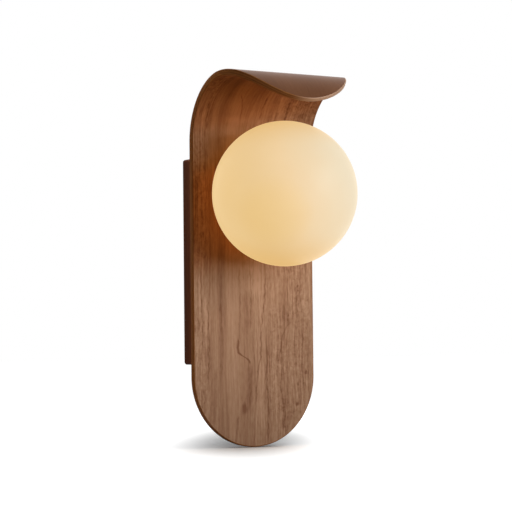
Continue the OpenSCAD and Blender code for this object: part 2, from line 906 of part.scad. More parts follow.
// Points of a smooth line through the route's own points
function blend(a, b, c, d, t) =
    (2 * b + (c - a) * t + (2 * a - 5 * b + 4 * c - d) * t * t + (3 * b - a - 3 * c + d) * t * t * t) / 2;
function smooth_line(p) = concat(
    [for (i = [0:len(p) - 2]) for (j = [0:lead_steps - 1])
        blend(p[max(i - 1, 0)], p[i], p[i + 1], p[min(i + 2, len(p) - 1)], j / lead_steps)],
    [p[len(p) - 1]]
);
function unit(v) = v / norm(v);
function ring_points(line, i) =
    let (
        along = unit(line[min(i + 1, len(line) - 1)] - line[max(i - 1, 0)]),
        u = unit(cross(along, [1, 0, 0])),
        v = cross(along, u)
    )
    [for (j = [0:lead_sides - 1])
        line[i] + lead_d / 2 * (cos(360 * j / lead_sides) * u + sin(360 * j / lead_sides) * v)];

// An insulated lead along a route
module lead(route) {
    line = smooth_line(route);
    n = lead_sides;
    last = n * (len(line) - 1);
    points = [for (i = [0:len(line) - 1]) for (p = ring_points(line, i)) p];
    sides = [for (i = [0:len(line) - 2]) for (j = [0:n - 1]) for (f = lead_faces(n * i, j)) f];
    start = [for (j = [1:n - 2]) [0, j, j + 1]];
    end = [for (j = [1:n - 2]) [last, last + j + 1, last + j]];
    polyhedron(points, concat(start, sides, end));
}

function lead_faces(base, j) =
    let (a = base + j, b = base + (j + 1) % lead_sides)
    [[a, a + lead_sides, b + lead_sides], [a, b + lead_sides, b]];

module live_lead() {
    color(live_brown) lead(lamp_route(-1));
}

module neutral_lead() {
    color(neutral_blue) lead(lamp_route(1));
}

module earth_lead() {
    color(earth_green) lead(earth_route);
}

module earth_lug() {
    barrel_y = barrel_axis_y - rear_lug_y;
    color(zinc) translate([0, rear_lug_y, globe_z]) rotate([0, lug_turn, 0]) {
        difference() {
            union() {
                across(lug_t, lug_t) {
                    circle(washer_r);
                    translate([0, -barrel_d / 2]) square([lug_len, barrel_d]);
                }
                translate([lug_len - barrel_len, barrel_y, 0]) rotate([0, 90, 0]) {
                    cylinder(h = barrel_len, d = barrel_d);
                }
            }
            bar_y(0, 0, lug_t + over, -over, tube_hole_r);
            translate([lug_len - barrel_len - over, barrel_y, 0]) rotate([0, 90, 0]) {
                cylinder(h = barrel_len + 2 * over, d = barrel_bore);
            }
        }
    }
}

module bracket_earth_screw() {
    color(brass) {
        front_screw(earth_x, -strap_t - cup_t, earth_z, 2 * earth_d, earth_head_h, earth_d,
            strap_t / 2 + cup_t);
    }
}

module bracket_earth_washer() {
    cup_r = earth_d / 2 + cup_ring;
    color(brass) difference() {
        bar_y(earth_x, earth_z, -strap_t, -strap_t - cup_t, cup_r);
        bar_y(earth_x, earth_z, -strap_t + over, -strap_t - cup_t - over, earth_d / 2 + hole_play);
    }
}

bent_panel();
wall_box();
wall_bracket();
box_lock_screws();
panel_screws();
globe();
globe_collar();
globe_gasket();
globe_hub();
hub_screws();
threaded_tube();
tube_nuts();
tube_washers();
tube_bushes();
lampholder_stirrup();
lampholder_body();
lampholder_contacts();
lampholder_screws();
bulb_base();
bulb_pins();
bulb_envelope();
bulb_led_core();
terminal_block();
terminal_inserts();
terminal_screws();
terminal_fixing_screw();
live_lead();
neutral_lead();
earth_lead();
earth_lug();
bracket_earth_screw();
bracket_earth_washer();
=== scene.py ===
"""Looks of a wall sconce: a bent walnut panel with a hood, a lit opal globe and a dark wall box."""

import logging
import math
from collections.abc import Iterable, Sequence
from dataclasses import dataclass, replace
from enum import Enum
from typing import Protocol

import bmesh
import bpy
from mathutils import Matrix, Vector

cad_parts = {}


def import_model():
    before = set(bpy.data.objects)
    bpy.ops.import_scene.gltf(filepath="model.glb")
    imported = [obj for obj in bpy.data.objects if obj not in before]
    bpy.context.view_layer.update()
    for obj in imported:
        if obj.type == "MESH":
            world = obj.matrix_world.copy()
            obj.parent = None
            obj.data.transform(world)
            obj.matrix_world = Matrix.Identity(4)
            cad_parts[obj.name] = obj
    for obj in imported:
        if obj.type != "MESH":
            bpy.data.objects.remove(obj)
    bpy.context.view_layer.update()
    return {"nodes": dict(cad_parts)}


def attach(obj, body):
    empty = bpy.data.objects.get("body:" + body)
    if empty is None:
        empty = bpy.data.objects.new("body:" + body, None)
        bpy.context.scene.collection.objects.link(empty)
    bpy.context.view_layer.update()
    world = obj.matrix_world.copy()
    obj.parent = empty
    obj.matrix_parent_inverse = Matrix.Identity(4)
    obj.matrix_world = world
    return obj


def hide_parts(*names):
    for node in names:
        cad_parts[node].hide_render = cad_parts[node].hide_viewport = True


Tint = tuple[float, float, float]
Point = tuple[float, float, float]
Span = tuple[float, float]
Socket = bpy.types.NodeSocket
Feed = Socket | float
Ring = list[Vector]

LOG = logging.getLogger("wall_sconce")
MM = 0.001
SMOOTH_BELOW = math.radians(34)
MERGE_BELOW = 1e-7
ROUND_SIDES = 48
QUARTER_TURN = math.pi / 2
FULL_TURN = 2 * math.pi
GLOBE_CENTRE: Point = (0.0, -96.525, 67.5)
GLOBE_R = 75.0
PHOTO_YAW = -31.6
WHITE: Tint = (1.0, 1.0, 1.0)
BLACK: Tint = (0.0, 0.0, 0.0)
TWO_SHADES: Span = (0.3, 0.7)
THREE_TONES: Point = (0.0, 0.5, 1.0)


class Slot(Enum):
    """Record slots of the new pieces' finishes; the pieces carry them along, but nothing reads them."""

    WALNUT_PLY = "walnut_ply"
    DARK_WALNUT = "dark_walnut"
    OPAL_GLASS = "opal_glass"
    BROWN_INSULATION = "brown_insulation"
    BLUE_INSULATION = "blue_insulation"
    GREEN_INSULATION = "green_insulation"


class Body(Enum):
    """Bodies of the lamp that the new pieces ride on."""

    FIXTURE = "fixture"
    GLOBE = "globe"


class Grain(Enum):
    """Direction of a board's grain: scales of the figure along x, y and z."""

    UPRIGHT = (1.0, 1.0, 0.045)
    LEVEL = (0.045, 1.0, 1.0)


class Rise(Enum):
    """Way in which a number rises from 0 to 1."""

    STRAIGHT = "LINEAR"
    SOFT = "SMOOTHSTEP"


class Lit(Enum):
    """What a lamp lights: the things on its list, or all others."""

    LISTED = "INCLUDE"
    OTHERS = "EXCLUDE"


class Graph:
    """Node tree of a material or of the world, with short calls for the nodes that the looks use."""

    def __init__(self, owner: bpy.types.Material | bpy.types.World) -> None:
        """Start with an empty tree.

        Args:
            owner: The material or the world.
        """
        self.owner = owner
        owner.use_nodes = True
        self.tree = owner.node_tree
        self.tree.nodes.clear()

    def add(self, kind: str, **settings: object) -> bpy.types.Node:
        """Add a node.

        Args:
            kind: Type name of the node.
            settings: Properties to set on it.

        Returns:
            The new node.
        """
        node = self.tree.nodes.new(kind)
        for key, value in settings.items():
            setattr(node, key, value)
        return node

    def feed(self, target: Socket, value: object) -> None:
        """Link a socket to the target, or set the target's own value.

        Args:
            target: Socket that takes the value.
            value: Another socket, or a constant; a colour has three numbers.
        """
        if isinstance(value, bpy.types.NodeSocket):
            self.tree.links.new(value, target)
        elif target.type == "RGBA":
            target.default_value = (*value, 1.0)
        else:
            target.default_value = value

    def fill(self, node: bpy.types.Node, **values: object) -> bpy.types.Node:
        """Feed several sockets of a node.

        Args:
            node: The node.
            values: Sockets or constants, by the names of the node's sockets with underscores for spaces.

        Returns:
            The same node.
        """
        for key, value in values.items():
            self.feed(node.inputs[key.replace("_", " ")], value)
        return node

    def math(self, operation: str, *terms: Feed) -> Socket:
        """Join numbers with one operation.

        Args:
            operation: Name of the operation.
            terms: Sockets or constants.

        Returns:
            Socket with the result.
        """
        node = self.add("ShaderNodeMath", operation=operation)
        for target, term in zip(node.inputs, terms):
            self.feed(target, term)
        return node.outputs[0]

    def times(self, first: Feed, second: Feed) -> Socket:
        """Multiply two numbers."""
        return self.math("MULTIPLY", first, second)

    def total(self, *terms: Feed) -> Socket:
        """Add up several numbers.

        Args:
            terms: Sockets or constants, at least two.

        Returns:
            Socket with the sum.
        """
        result = self.math("ADD", terms[0], terms[1])
        for term in terms[2:]:
            result = self.math("ADD", result, term)
        return result

    def hypot(self, first: Socket, second: Socket) -> Socket:
        """Give the length of two sides set square."""
        return self.math("SQRT", self.math("ADD", self.times(first, first), self.times(second, second)))

    def between(self, value: Socket, low: float, high: float) -> Socket:
        """Turn a value of 0 to 1 into one of low to high."""
        return self.math("MULTIPLY_ADD", value, high - low, low)

    def swing(self, value: Socket, reach: float) -> Socket:
        """Turn a value of 0 to 1 into one of minus to plus half the reach."""
        return self.between(value, -reach / 2, reach / 2)

    def place(self) -> Socket:
        """Give the point's place in the part's own frame, in metres."""
        return self.add("ShaderNodeTexCoord").outputs["Object"]

    def attribute(self, name: str) -> Socket:
        """Give a vector that the mesh carries under this name."""
        return self.add("ShaderNodeAttribute", attribute_name=name).outputs["Vector"]

    def stretch(self, vector: Socket, scale: Point, shift: Point = (0, 0, 0)) -> Socket:
        """Scale a vector along the three axes, then move it."""
        return self.fill(self.add("ShaderNodeMapping"), Vector=vector, Scale=scale, Location=shift).outputs[0]

    def parts(self, vector: Socket) -> list[Socket]:
        """Split a vector into its three numbers."""
        return list(self.fill(self.add("ShaderNodeSeparateXYZ"), Vector=vector).outputs)

    def join(self, x: Feed, y: Feed, z: Feed) -> Socket:
        """Join three numbers into a vector."""
        return self.fill(self.add("ShaderNodeCombineXYZ"), X=x, Y=y, Z=z).outputs[0]

    def dot(self, vector: Socket, direction: Point) -> Socket:
        """Measure a vector along a direction.

        Args:
            vector: The vector.
            direction: The direction, whose length scales the result.

        Returns:
            Socket with the measure.
        """
        node = self.add("ShaderNodeVectorMath", operation="DOT_PRODUCT")
        self.feed(node.inputs[0], vector)
        self.feed(node.inputs[1], direction)
        return node.outputs["Value"]

    def share(self, value: Socket, low: float, high: float, rise: Rise = Rise.STRAIGHT) -> Socket:
        """Give how far a number has come from low, as 0, to high, as 1.

        Args:
            value: The number.
            low: Where the result is 0.
            high: Where the result is 1; it may lie below low.
            rise: Way in which the result rises.

        Returns:
            Socket with the result, never outside 0 to 1.
        """
        node = self.add("ShaderNodeMapRange", interpolation_type=rise.value)
        self.fill(node, Value=value, From_Min=min(low, high), From_Max=max(low, high))
        self.fill(node, To_Min=float(low > high), To_Max=float(low < high))
        return node.outputs["Result"]

    def step(self, value: Socket, low: float, high: float) -> Socket:
        """Rise softly from 0 at low to 1 at high."""
        return self.share(value, low, high, Rise.SOFT)

    def ridge(self, value: Socket, middle: Feed, width: float) -> Socket:
        """Give 1 where the value equals the middle, falling softly to 0 at this distance from it."""
        return self.step(self.math("ABSOLUTE", self.math("SUBTRACT", value, middle)), width, 0.0)

    def curve(self, value: Socket, points: Sequence[Span]) -> Socket:
        """Run a number through a smooth curve.

        Args:
            value: The number.
            points: Pairs of input and output, in rising order of input; outputs lie between 0 and 1.

        Returns:
            Socket with the result.
        """
        low, high = points[0][0], points[-1][0]
        first, *inner, last = [((at - low) / (high - low), out) for at, out in points]
        node = self.add("ShaderNodeFloatCurve")
        line = node.mapping.curves[0].points
        line[0].location, line[1].location = first, last
        for spot in inner:
            line.new(*spot)
        node.mapping.update()
        return self.fill(node, Value=self.share(value, low, high)).outputs["Value"]

    def ramp(self, value: Socket, tints: Sequence[Tint], stops: Sequence[float] = TWO_SHADES) -> Socket:
        """Turn a number into a colour.

        Args:
            value: The number.
            tints: Colours along the ramp.
            stops: The number at which each colour is full, rising from 0 to 1.

        Returns:
            Socket with the colour.
        """
        node = self.add("ShaderNodeValToRGB")
        elements = node.color_ramp.elements
        while len(elements) < len(stops):
            elements.new(0.5)
        for element, at, tint in zip(elements, stops, tints):
            element.position = at
            element.color = (*tint, 1.0)
        return self.fill(node, Fac=value).outputs["Color"]

    def mix(self, share: Feed, first: Socket | Tint, second: Socket | Tint) -> Socket:
        """Mix two colours.

        Args:
            share: Share of the second colour.
            first: Colour at a share of 0.
            second: Colour at a share of 1.

        Returns:
            Socket with the mixed colour.
        """
        node = self.add("ShaderNodeMix", data_type="RGBA")
        for index, value in ((0, share), (6, first), (7, second)):
            self.feed(node.inputs[index], value)
        return node.outputs[2]

    def seen_white(self) -> Socket:
        """Tell camera, mirror and glass rays from the rest.

        Returns:
            Socket with 1 for rays that should meet plain white.
        """
        path = self.add("ShaderNodeLightPath").outputs
        mirrored = self.math("MAXIMUM", path["Is Camera Ray"], path["Is Glossy Ray"])
        return self.math("MAXIMUM", mirrored, path["Is Transmission Ray"])


@dataclass(frozen=True)
class Relief:
    """Bump of a finish: its depth in metres, and the share of it that shows."""

    depth: float
    strength: float


class Surface(Graph):
    """Node tree of one material, with one shader on its output."""

    def __init__(self, name: str) -> None:
        """Start the material.

        Args:
            name: Name of the material.
        """
        super().__init__(bpy.data.materials.new(name))
        self.shader = self.add("ShaderNodeBsdfPrincipled")
        self.fill(self.add("ShaderNodeOutputMaterial"), Surface=self.shader.outputs["BSDF"])

    def bump(self, height: Socket, relief: Relief) -> None:
        """Let a height of 0 to 1 shade the surface.

        Args:
            height: The height.
            relief: How deep it is and how much of it shows.
        """
        node = self.add("ShaderNodeBump")
        self.fill(node, Strength=relief.strength, Distance=relief.depth, Height=height)
        self.dress(Normal=node.outputs["Normal"])

    def dress(self, **values: object) -> bpy.types.Material:
        """Feed the shader's sockets.

        Args:
            values: Sockets or constants, by the names of the shader's sockets with underscores for spaces.

        Returns:
            The material.
        """
        self.fill(self.shader, **values)
        return self.owner


class Finish(Protocol):
    """Anything that can make its own material."""

    def build(self) -> bpy.types.Material:
        """Make the material."""


@dataclass(frozen=True)
class Layer:
    """Layer of noise in a finish.

    Its scale is in clouds per unit of length, the same all round or one for each axis. A layer with a cut
    shows as lines or dots, where the noise rises through the two values of the cut.
    """

    scale: float | Point
    weight: float = 1.0
    shift: Point = (0, 0, 0)
    detail: float = 2.0
    rough: float = 0.5
    twist: float = 0.0
    cut: Span | None = None

    def draw(self, g: Graph, vector: Socket) -> Socket:
        """Read the noise.

        Args:
            g: The material's tree.
            vector: Where it is read.

        Returns:
            Socket with a value of about 0 to 1.
        """
        node = g.add("ShaderNodeTexNoise")
        g.fill(node, Detail=self.detail, Roughness=self.rough, Distortion=self.twist)
        if isinstance(self.scale, tuple):
            g.fill(node, Vector=g.stretch(vector, self.scale, self.shift), Scale=1.0)
        else:
            g.fill(node, Vector=vector, Scale=self.scale)
        noise = node.outputs["Fac"]
        return g.step(noise, *self.cut) if self.cut else noise

    def weigh(self, g: Graph, drawn: Socket, share: float = 1.0) -> Socket:
        """Turn the drawn noise into what it adds to a tone.

        Args:
            g: The material's tree.
            drawn: The noise as drawn.
            share: Share of the layer's weight.

        Returns:
            Socket with the addition, which is even about 0 for a layer without a cut.
        """
        reach = self.weight * share
        return g.times(drawn, reach) if self.cut else g.swing(drawn, reach)

    def tone(self, g: Graph, vector: Socket, share: float = 1.0) -> Socket:
        """Read the noise at a vector and weigh it."""
        return self.weigh(g, self.draw(g, vector), share)


@dataclass(frozen=True)
class Mark:
    """Line in a veneer's figure, or a broad band of painted light or shade: pairs of places along and across
    the sheet, and half its width, in mm.
    """

    path: tuple[Span, ...]
    width: float
    tone: float
    spread: float = 160.0
    fade: float = 0.16

    def draw(self, g: Graph, across: Socket, along: Socket) -> Socket:
        """Give the tone that the line adds.

        Args:
            g: The material's tree.
            across: Place across the sheet, in mm.
            along: Place along the sheet, in mm.

        Returns:
            Socket with the line's tone, 0 away from it.
        """
        low, high = self.path[0][0], self.path[-1][0]
        fade = self.fade * (high - low)
        way = g.curve(along, [(at, x / self.spread + 0.5) for at, x in self.path])
        line = g.ridge(across, g.swing(way, self.spread), self.width)
        ends = g.times(g.step(along, low, low + fade), g.step(along, high, high - fade))
        return g.times(g.times(line, ends), self.tone)


@dataclass(frozen=True)
class Knot:
    """Pin knot in a veneer: place across and along the sheet, half width and half length, in mm."""

    x: float
    s: float
    half: Span
    tone: float
    core: float = 0.25

    def draw(self, g: Graph, across: Socket, along: Socket) -> Socket:
        """Give the tone that the knot adds.

        Args:
            g: The material's tree.
            across: Place across the sheet, in mm.
            along: Place along the sheet, in mm.

        Returns:
            Socket with the knot's tone, 0 away from it.
        """
        wide, long = self.half
        off_x = g.math("MULTIPLY_ADD", across, 1 / wide, -self.x / wide)
        off_s = g.math("MULTIPLY_ADD", along, 1 / long, -self.s / long)
        return g.times(g.step(g.hypot(off_x, off_s), 1.0, self.core), self.tone)


@dataclass(frozen=True)
class WalnutVeneer:
    """Satin walnut veneer, its grain along the sheet, read from the sheet's developed lengths in mm."""

    name: str
    tones: tuple[Tint, Tint, Tint]
    figure: tuple[Span, ...]
    # Painted shade and warm glow: redder, darker tones mixed in behind and beside the globe and up under the
    # hood, where the hood and the globe keep the lamps off and only the globe's glow falls.
    painted_glow_tones: tuple[Tint, Tint, Tint] | None = None
    painted_glow_share: tuple[Span, ...] = ()
    painted_glow_tilt: float = 0.0
    calm_reach: Span = (-10.0, 60.0)
    calm: float = 0.5
    # Tone along the sheet, which can carry painted light and painted shade.
    painted_light_and_shade_along: tuple[Span, ...] = ((-330, 0.5), (170, 0.5))
    lively: tuple[Span, ...] = ((-84, 0.7), (84, 0.7))
    marks: tuple[Mark, ...] = ()
    knots: tuple[Knot, ...] = ()
    shift: float = 0.0
    contrast: float = 1.0
    cloud: Layer = Layer((0.03, 0.012, 1), 0.25, shift=(3, 7, 0))
    # How the lines wander across the sheet, in mm.
    slow: Layer = Layer((0.022, 0.0055, 0), 13.0)
    quick: Layer = Layer((0.09, 0.016, 0), 4.0)
    # What runs along the lines.
    streak: Layer = Layer((0.3, 0.01, 1), 0.55, detail=3.0, rough=0.62)
    fine: Layer = Layer((0.48, 0.02, 1), 1.5, shift=(5, 2, 0), detail=2.5)
    fleck: Layer = Layer((0.55, 0.13, 1), 1.0, shift=(1, 9, 0))
    hair: Layer = Layer((1.9, 0.03, 1), 0.35, detail=3.0, rough=0.6)
    dark_line: Layer = Layer((0.7, 0.011, 1), -0.4, shift=(0, 4, 0), detail=1.0, cut=(0.62, 0.74))
    pores: Layer = Layer((2.6, 0.11, 1), -0.15, detail=1.0, cut=(0.6, 0.72))
    # How the marks waver, in mm, and break up, and where the wood is curly.
    jag: Layer = Layer((0.16, 0.13, 1), 4.0, shift=(6, 0, 3))
    breaks: Layer = Layer((0.2, 0.1, 1))
    break_range: Span = (0.1, 1.6)
    curl: Layer = Layer((0.22, 0.2, 1), 1.0, shift=(11, 4, 0), twist=0.8)
    curl_patch: Layer = Layer((0.03, 0.016, 1), shift=(2, 0, 5), cut=(0.36, 0.56))
    curl_right: Span = (8.0, 26.0)
    curl_left: Span = (-54.0, -62.0)
    pore_height: float = -0.6
    hair_height: float = 0.5
    relief: Relief = Relief(0.06 * MM, 0.1)
    rough: Span = (0.5, 0.64)
    specular: float = 0.1

    def build(self) -> bpy.types.Material:
        """Make the veneer's material.

        Returns:
            The material.
        """
        g = Surface(self.name)
        sheet = g.stretch(g.attribute("developed"), (1 / MM, 1 / MM, 1 / MM), (0, self.shift, 0))
        across, along, _ = g.parts(sheet)
        wandered = g.total(across, self.slow.tone(g, sheet), self.quick.tone(g, sheet))
        lines = g.join(wandered, along, 0.0)
        hair, pores = self.hair.draw(g, lines), self.pores.draw(g, lines)
        lively_layers = (self.fine, self.fleck, self.dark_line)
        busy = g.total(*(layer.tone(g, lines, self.contrast) for layer in lively_layers))
        calm = g.between(g.step(along, *self.calm_reach), 1.0, self.calm)
        stripes = g.total(self.streak.tone(g, lines, self.contrast), self.hair.weigh(g, hair, self.contrast))
        tone = g.total(
            g.curve(wandered, self.figure),
            g.times(busy, g.times(g.curve(across, self.lively), calm)),
            g.times(stripes, calm),
            self.cloud.tone(g, sheet, self.contrast),
            self.pores.weigh(g, pores, self.contrast),
            # Painted light and shade along the sheet.
            g.swing(g.curve(along, self.painted_light_and_shade_along), 1.0),
        )
        if self.marks:
            tone = self.with_marks(g, tone, sheet)
        colour = g.ramp(tone, self.tones, THREE_TONES)
        # Painted shade and the globe's painted warm glow, mixed in along the sheet.
        if self.painted_glow_tones:
            tilted = g.math("MULTIPLY_ADD", across, self.painted_glow_tilt, along)
            glow_lit = g.ramp(tone, self.painted_glow_tones, THREE_TONES)
            colour = g.mix(g.curve(tilted, self.painted_glow_share), colour, glow_lit)
        g.bump(g.math("MULTIPLY_ADD", pores, self.pore_height, g.times(hair, self.hair_height)), self.relief)
        rough = g.between(hair, *self.rough)
        return g.dress(Base_Color=colour, Roughness=rough, Specular_IOR_Level=self.specular)

    def with_marks(self, g: Graph, tone: Socket, sheet: Socket) -> Socket:
        """Add the lines, among them the bands of painted light and shade, the knots and the curly figure.

        Args:
            g: The material's tree.
            tone: Tone so far.
            sheet: Place across and along the sheet, in mm.

        Returns:
            Socket with the new tone.
        """
        across, along, _ = g.parts(sheet)
        jagged = g.total(across, self.jag.tone(g, sheet))
        drawn = g.total(0.0, *(mark.draw(g, jagged, along) for mark in self.marks))
        broken = g.between(self.breaks.draw(g, sheet), *self.break_range)
        tone = g.math("MULTIPLY_ADD", drawn, broken, tone)
        tone = g.total(tone, *(knot.draw(g, jagged, along) for knot in self.knots))
        inside = g.math("MAXIMUM", g.step(across, *self.curl_right), g.step(across, *self.curl_left))
        patches = g.times(inside, self.curl_patch.draw(g, sheet))
        return g.math("MULTIPLY_ADD", self.curl.tone(g, sheet), patches, tone)


@dataclass(frozen=True)
class PlyEdge:
    """Edge of the moulded plywood: thin layers, their grain turned in every second one; painted paler on the
    hood's right-hand part, where the lamps' light falls, and painted lighter round the crown.
    """

    name: str = "walnut_ply_edge"
    layer: float = 1.3
    dark: Tint = (0.193, 0.062, 0.0155)
    light: Tint = (0.372, 0.145, 0.041)
    base: float = 0.28
    turned_step: Span = (0.35, 0.65)
    turned_weight: float = 0.45
    glue_line: Span = (0.5, 0.09)
    glue_weight: float = -0.2
    # Painted light: a lighter band on the edge round the hood's crown.
    crown_place: Span = (80.0, 48.0)
    crown_weight: float = 0.5
    # Painted light: the pale tint on the edge of the hood's front part, on its right-hand side where the
    # lamps' light falls, broken up by the fibre.
    lit_rim_tint: Tint = (0.67, 0.41, 0.265)
    lit_rim_along: Span = (60.0, 100.0)
    lit_rim_across: Span = (-22.0, 12.0)
    lit_rim_breakup: Span = (0.5, 1.1)
    waver: Layer = Layer(0.05, 0.25, detail=1.0)
    fibre: Layer = Layer((1.4, 1.4, 3.5), 0.5, detail=3.0, rough=0.6)
    relief: Relief = Relief(0.08 * MM, 0.3)
    rough: Span = (0.45, 0.65)
    specular: float = 0.04

    def build(self) -> bpy.types.Material:
        """Make the edge's material.

        Returns:
            The material.
        """
        g = Surface(self.name)
        sheet = g.stretch(g.attribute("developed"), (1 / MM, 1 / MM, 1 / MM))
        across, along, depth = g.parts(sheet)
        level = g.total(depth, self.waver.tone(g, sheet))
        turned = g.math("PINGPONG", g.math("DIVIDE", level, self.layer), 1.0)
        fibre = self.fibre.draw(g, sheet)
        tone = g.total(
            g.times(g.step(turned, *self.turned_step), self.turned_weight),
            self.fibre.weigh(g, fibre),
            # Painted light round the crown.
            g.times(g.ridge(along, *self.crown_place), self.crown_weight),
            self.base,
        )
        tone = g.math("MULTIPLY_ADD", g.ridge(turned, *self.glue_line), self.glue_weight, tone)
        g.bump(tone, self.relief)
        colour = g.ramp(tone, (self.dark, self.light), (0.0, 1.0))
        # Painted light on the right-hand edge of the hood.
        lit_rim_share = g.times(g.step(along, *self.lit_rim_along), g.step(across, *self.lit_rim_across))
        lit_rim_share = g.times(lit_rim_share, g.between(fibre, *self.lit_rim_breakup))
        colour = g.mix(lit_rim_share, colour, self.lit_rim_tint)
        rough = g.between(fibre, *self.rough)
        return g.dress(Base_Color=colour, Roughness=rough, Specular_IOR_Level=self.specular)


@dataclass(frozen=True)
class DarkWalnut:
    """Walnut under a dark red-brown stain, painted lighter towards the front, next to the panel, where more
    light falls on it, with lengths in mm.
    """

    name: str
    grain: Grain
    dark: Tint = (0.06, 0.017, 0.009)
    light: Tint = (0.172, 0.056, 0.027)
    stops: Span = (0.05, 0.85)
    base: float = 0.425
    # Painted light: lighter towards the front, next to the panel, where more light falls.
    lit_front_reach: Span = (-4.5, -15.0)
    lit_front_weight: float = 0.42
    streak: Layer = Layer(0.3, 0.75, detail=4.0, rough=0.6, twist=0.4)
    hair: Layer = Layer(1.5, 0.4, rough=0.55)
    pores: Layer = Layer(2.4, -0.2, detail=1.0, cut=(0.6, 0.72))
    pore_height: float = -0.7
    relief: Relief = Relief(0.1 * MM, 0.35)
    rough: Span = (0.4, 0.58)
    specular: float = 0.01

    def build(self) -> bpy.types.Material:
        """Make the stained wood's material.

        Returns:
            The material.
        """
        g = Surface(self.name)
        place = g.stretch(g.place(), tuple(scale / MM for scale in self.grain.value))
        hair, pores = self.hair.draw(g, place), self.pores.draw(g, place)
        _, depth, _ = g.parts(g.place())
        # Painted light towards the front.
        front = g.step(depth, *(reach * MM for reach in self.lit_front_reach))
        tone = g.total(
            self.streak.tone(g, place),
            self.hair.weigh(g, hair),
            self.pores.weigh(g, pores),
            g.times(front, self.lit_front_weight),
            self.base,
        )
        colour = g.ramp(tone, (self.dark, self.light), self.stops)
        g.bump(g.math("MULTIPLY_ADD", pores, self.pore_height, hair), self.relief)
        rough = g.between(hair, *self.rough)
        return g.dress(Base_Color=colour, Roughness=rough, Specular_IOR_Level=self.specular)


@dataclass(frozen=True)
class OpalGlass:
    """Opal glass lit from inside, deeper behind towards the wood; its glow is painted paler in front and to
    the right, where the lamps' light falls, painted deeper at the lower left where less falls, and deeper at
    top and bottom.
    """

    name: str = "opal_glass"
    glow: tuple[Tint, Tint, Tint] = ((0.78, 0.535, 0.235), (0.77, 0.535, 0.26), (0.64, 0.51, 0.305))
    # Painted light: the glow grows paler towards this side, where the lamps' light falls.
    glow_stops: Point = (0.1, 0.5, 0.92)
    painted_light_toward: Point = (0.855, -0.455, 0.25)
    # Painted shade: a deeper glow towards the lower left, where less of the lamps' light falls.
    core: Tint = (0.77, 0.51, 0.19)
    painted_shade_toward: Point = (-0.632, -0.685, -0.36)
    painted_shade_reach: Span = (0.82, 1.0)
    painted_shade_share: float = 0.8
    pole: Tint = (0.74, 0.45, 0.14)
    pole_reach: Span = (0.55, 1.05)
    pole_share: float = 0.75
    near_wood: Tint = (0.8, 0.4, 0.085)
    near_wood_reach: Span = (0.3, 0.98)
    skin: tuple[Tint, Tint] = ((0.2, 0.19, 0.175), (0.23, 0.22, 0.2))
    cloud: Layer = Layer(1.6, 0.16)
    seeds: Layer = Layer(22.0)
    relief: Relief = Relief(0.05 * MM, 0.12)
    rough: Span = (0.4, 0.48)
    specular: float = 0.08

    def build(self) -> bpy.types.Material:
        """Make the glass's material.

        Returns:
            The material.
        """
        g = Surface(self.name)
        scale = 1 / (GLOBE_R * MM)
        shift = tuple(-value * MM * scale for value in GLOBE_CENTRE)
        ball = g.stretch(g.place(), (scale, scale, scale), shift)
        _, behind, rise = g.parts(ball)
        # Painted light: paler towards the lit side.
        toward = g.math("MULTIPLY_ADD", g.dot(ball, self.painted_light_toward), 0.5, 0.5)
        cloud, seeds = self.cloud.draw(g, ball), self.seeds.draw(g, ball)
        glow = g.ramp(g.total(toward, self.cloud.weigh(g, cloud)), self.glow, self.glow_stops)
        # Painted shade: deeper towards the lower left.
        core = g.step(g.dot(ball, self.painted_shade_toward), *self.painted_shade_reach)
        glow = g.mix(g.times(core, self.painted_shade_share), glow, self.core)
        poles = g.step(g.math("ABSOLUTE", rise), *self.pole_reach)
        glow = g.mix(g.times(poles, self.pole_share), glow, self.pole)
        glow = g.mix(g.step(behind, *self.near_wood_reach), glow, self.near_wood)
        g.bump(seeds, self.relief)
        g.dress(Emission_Color=glow, Emission_Strength=1.0)
        rough = g.between(seeds, *self.rough)
        return g.dress(Base_Color=g.ramp(cloud, self.skin), Roughness=rough, Specular_IOR_Level=self.specular)


@dataclass(frozen=True)
class Thread:
    """Screw thread round the globe's middle line, in metres."""

    pitch: float
    radius: float
    band: float
    relief: Relief
    flank: float = 0.6
    middle_z: float = GLOBE_CENTRE[2] * MM

    def height(self, g: Graph) -> Socket:
        """Give the thread's height.

        Args:
            g: The material's tree.

        Returns:
            Socket with 0 in the roots and 1 on the crests, and 1 away from the threaded radius.
        """
        x, y, z = g.parts(g.place())
        rise = g.math("SUBTRACT", z, self.middle_z)
        turn = g.math("DIVIDE", g.math("ARCTAN2", rise, x), FULL_TURN)
        wave = g.math("PINGPONG", g.math("MULTIPLY_ADD", y, 2 / self.pitch, g.times(turn, 2)), 1.0)
        off = g.math("ABSOLUTE", g.math("SUBTRACT", g.hypot(x, rise), self.radius))
        near = g.step(off, self.band, self.band * self.flank)
        return g.total(g.times(near, wave), g.math("SUBTRACT", 1.0, near))


def roughen(g: Surface, grain: Socket, relief: Relief, thread: Thread | None) -> None:
    """Give a surface its thread, or its grain where it has no thread.

    Args:
        g: The material's tree.
        grain: Height of the grain.
        relief: Depth of the grain.
        thread: The thread.
    """
    if thread:
        g.bump(thread.height(g), thread.relief)
    else:
        g.bump(grain, relief)


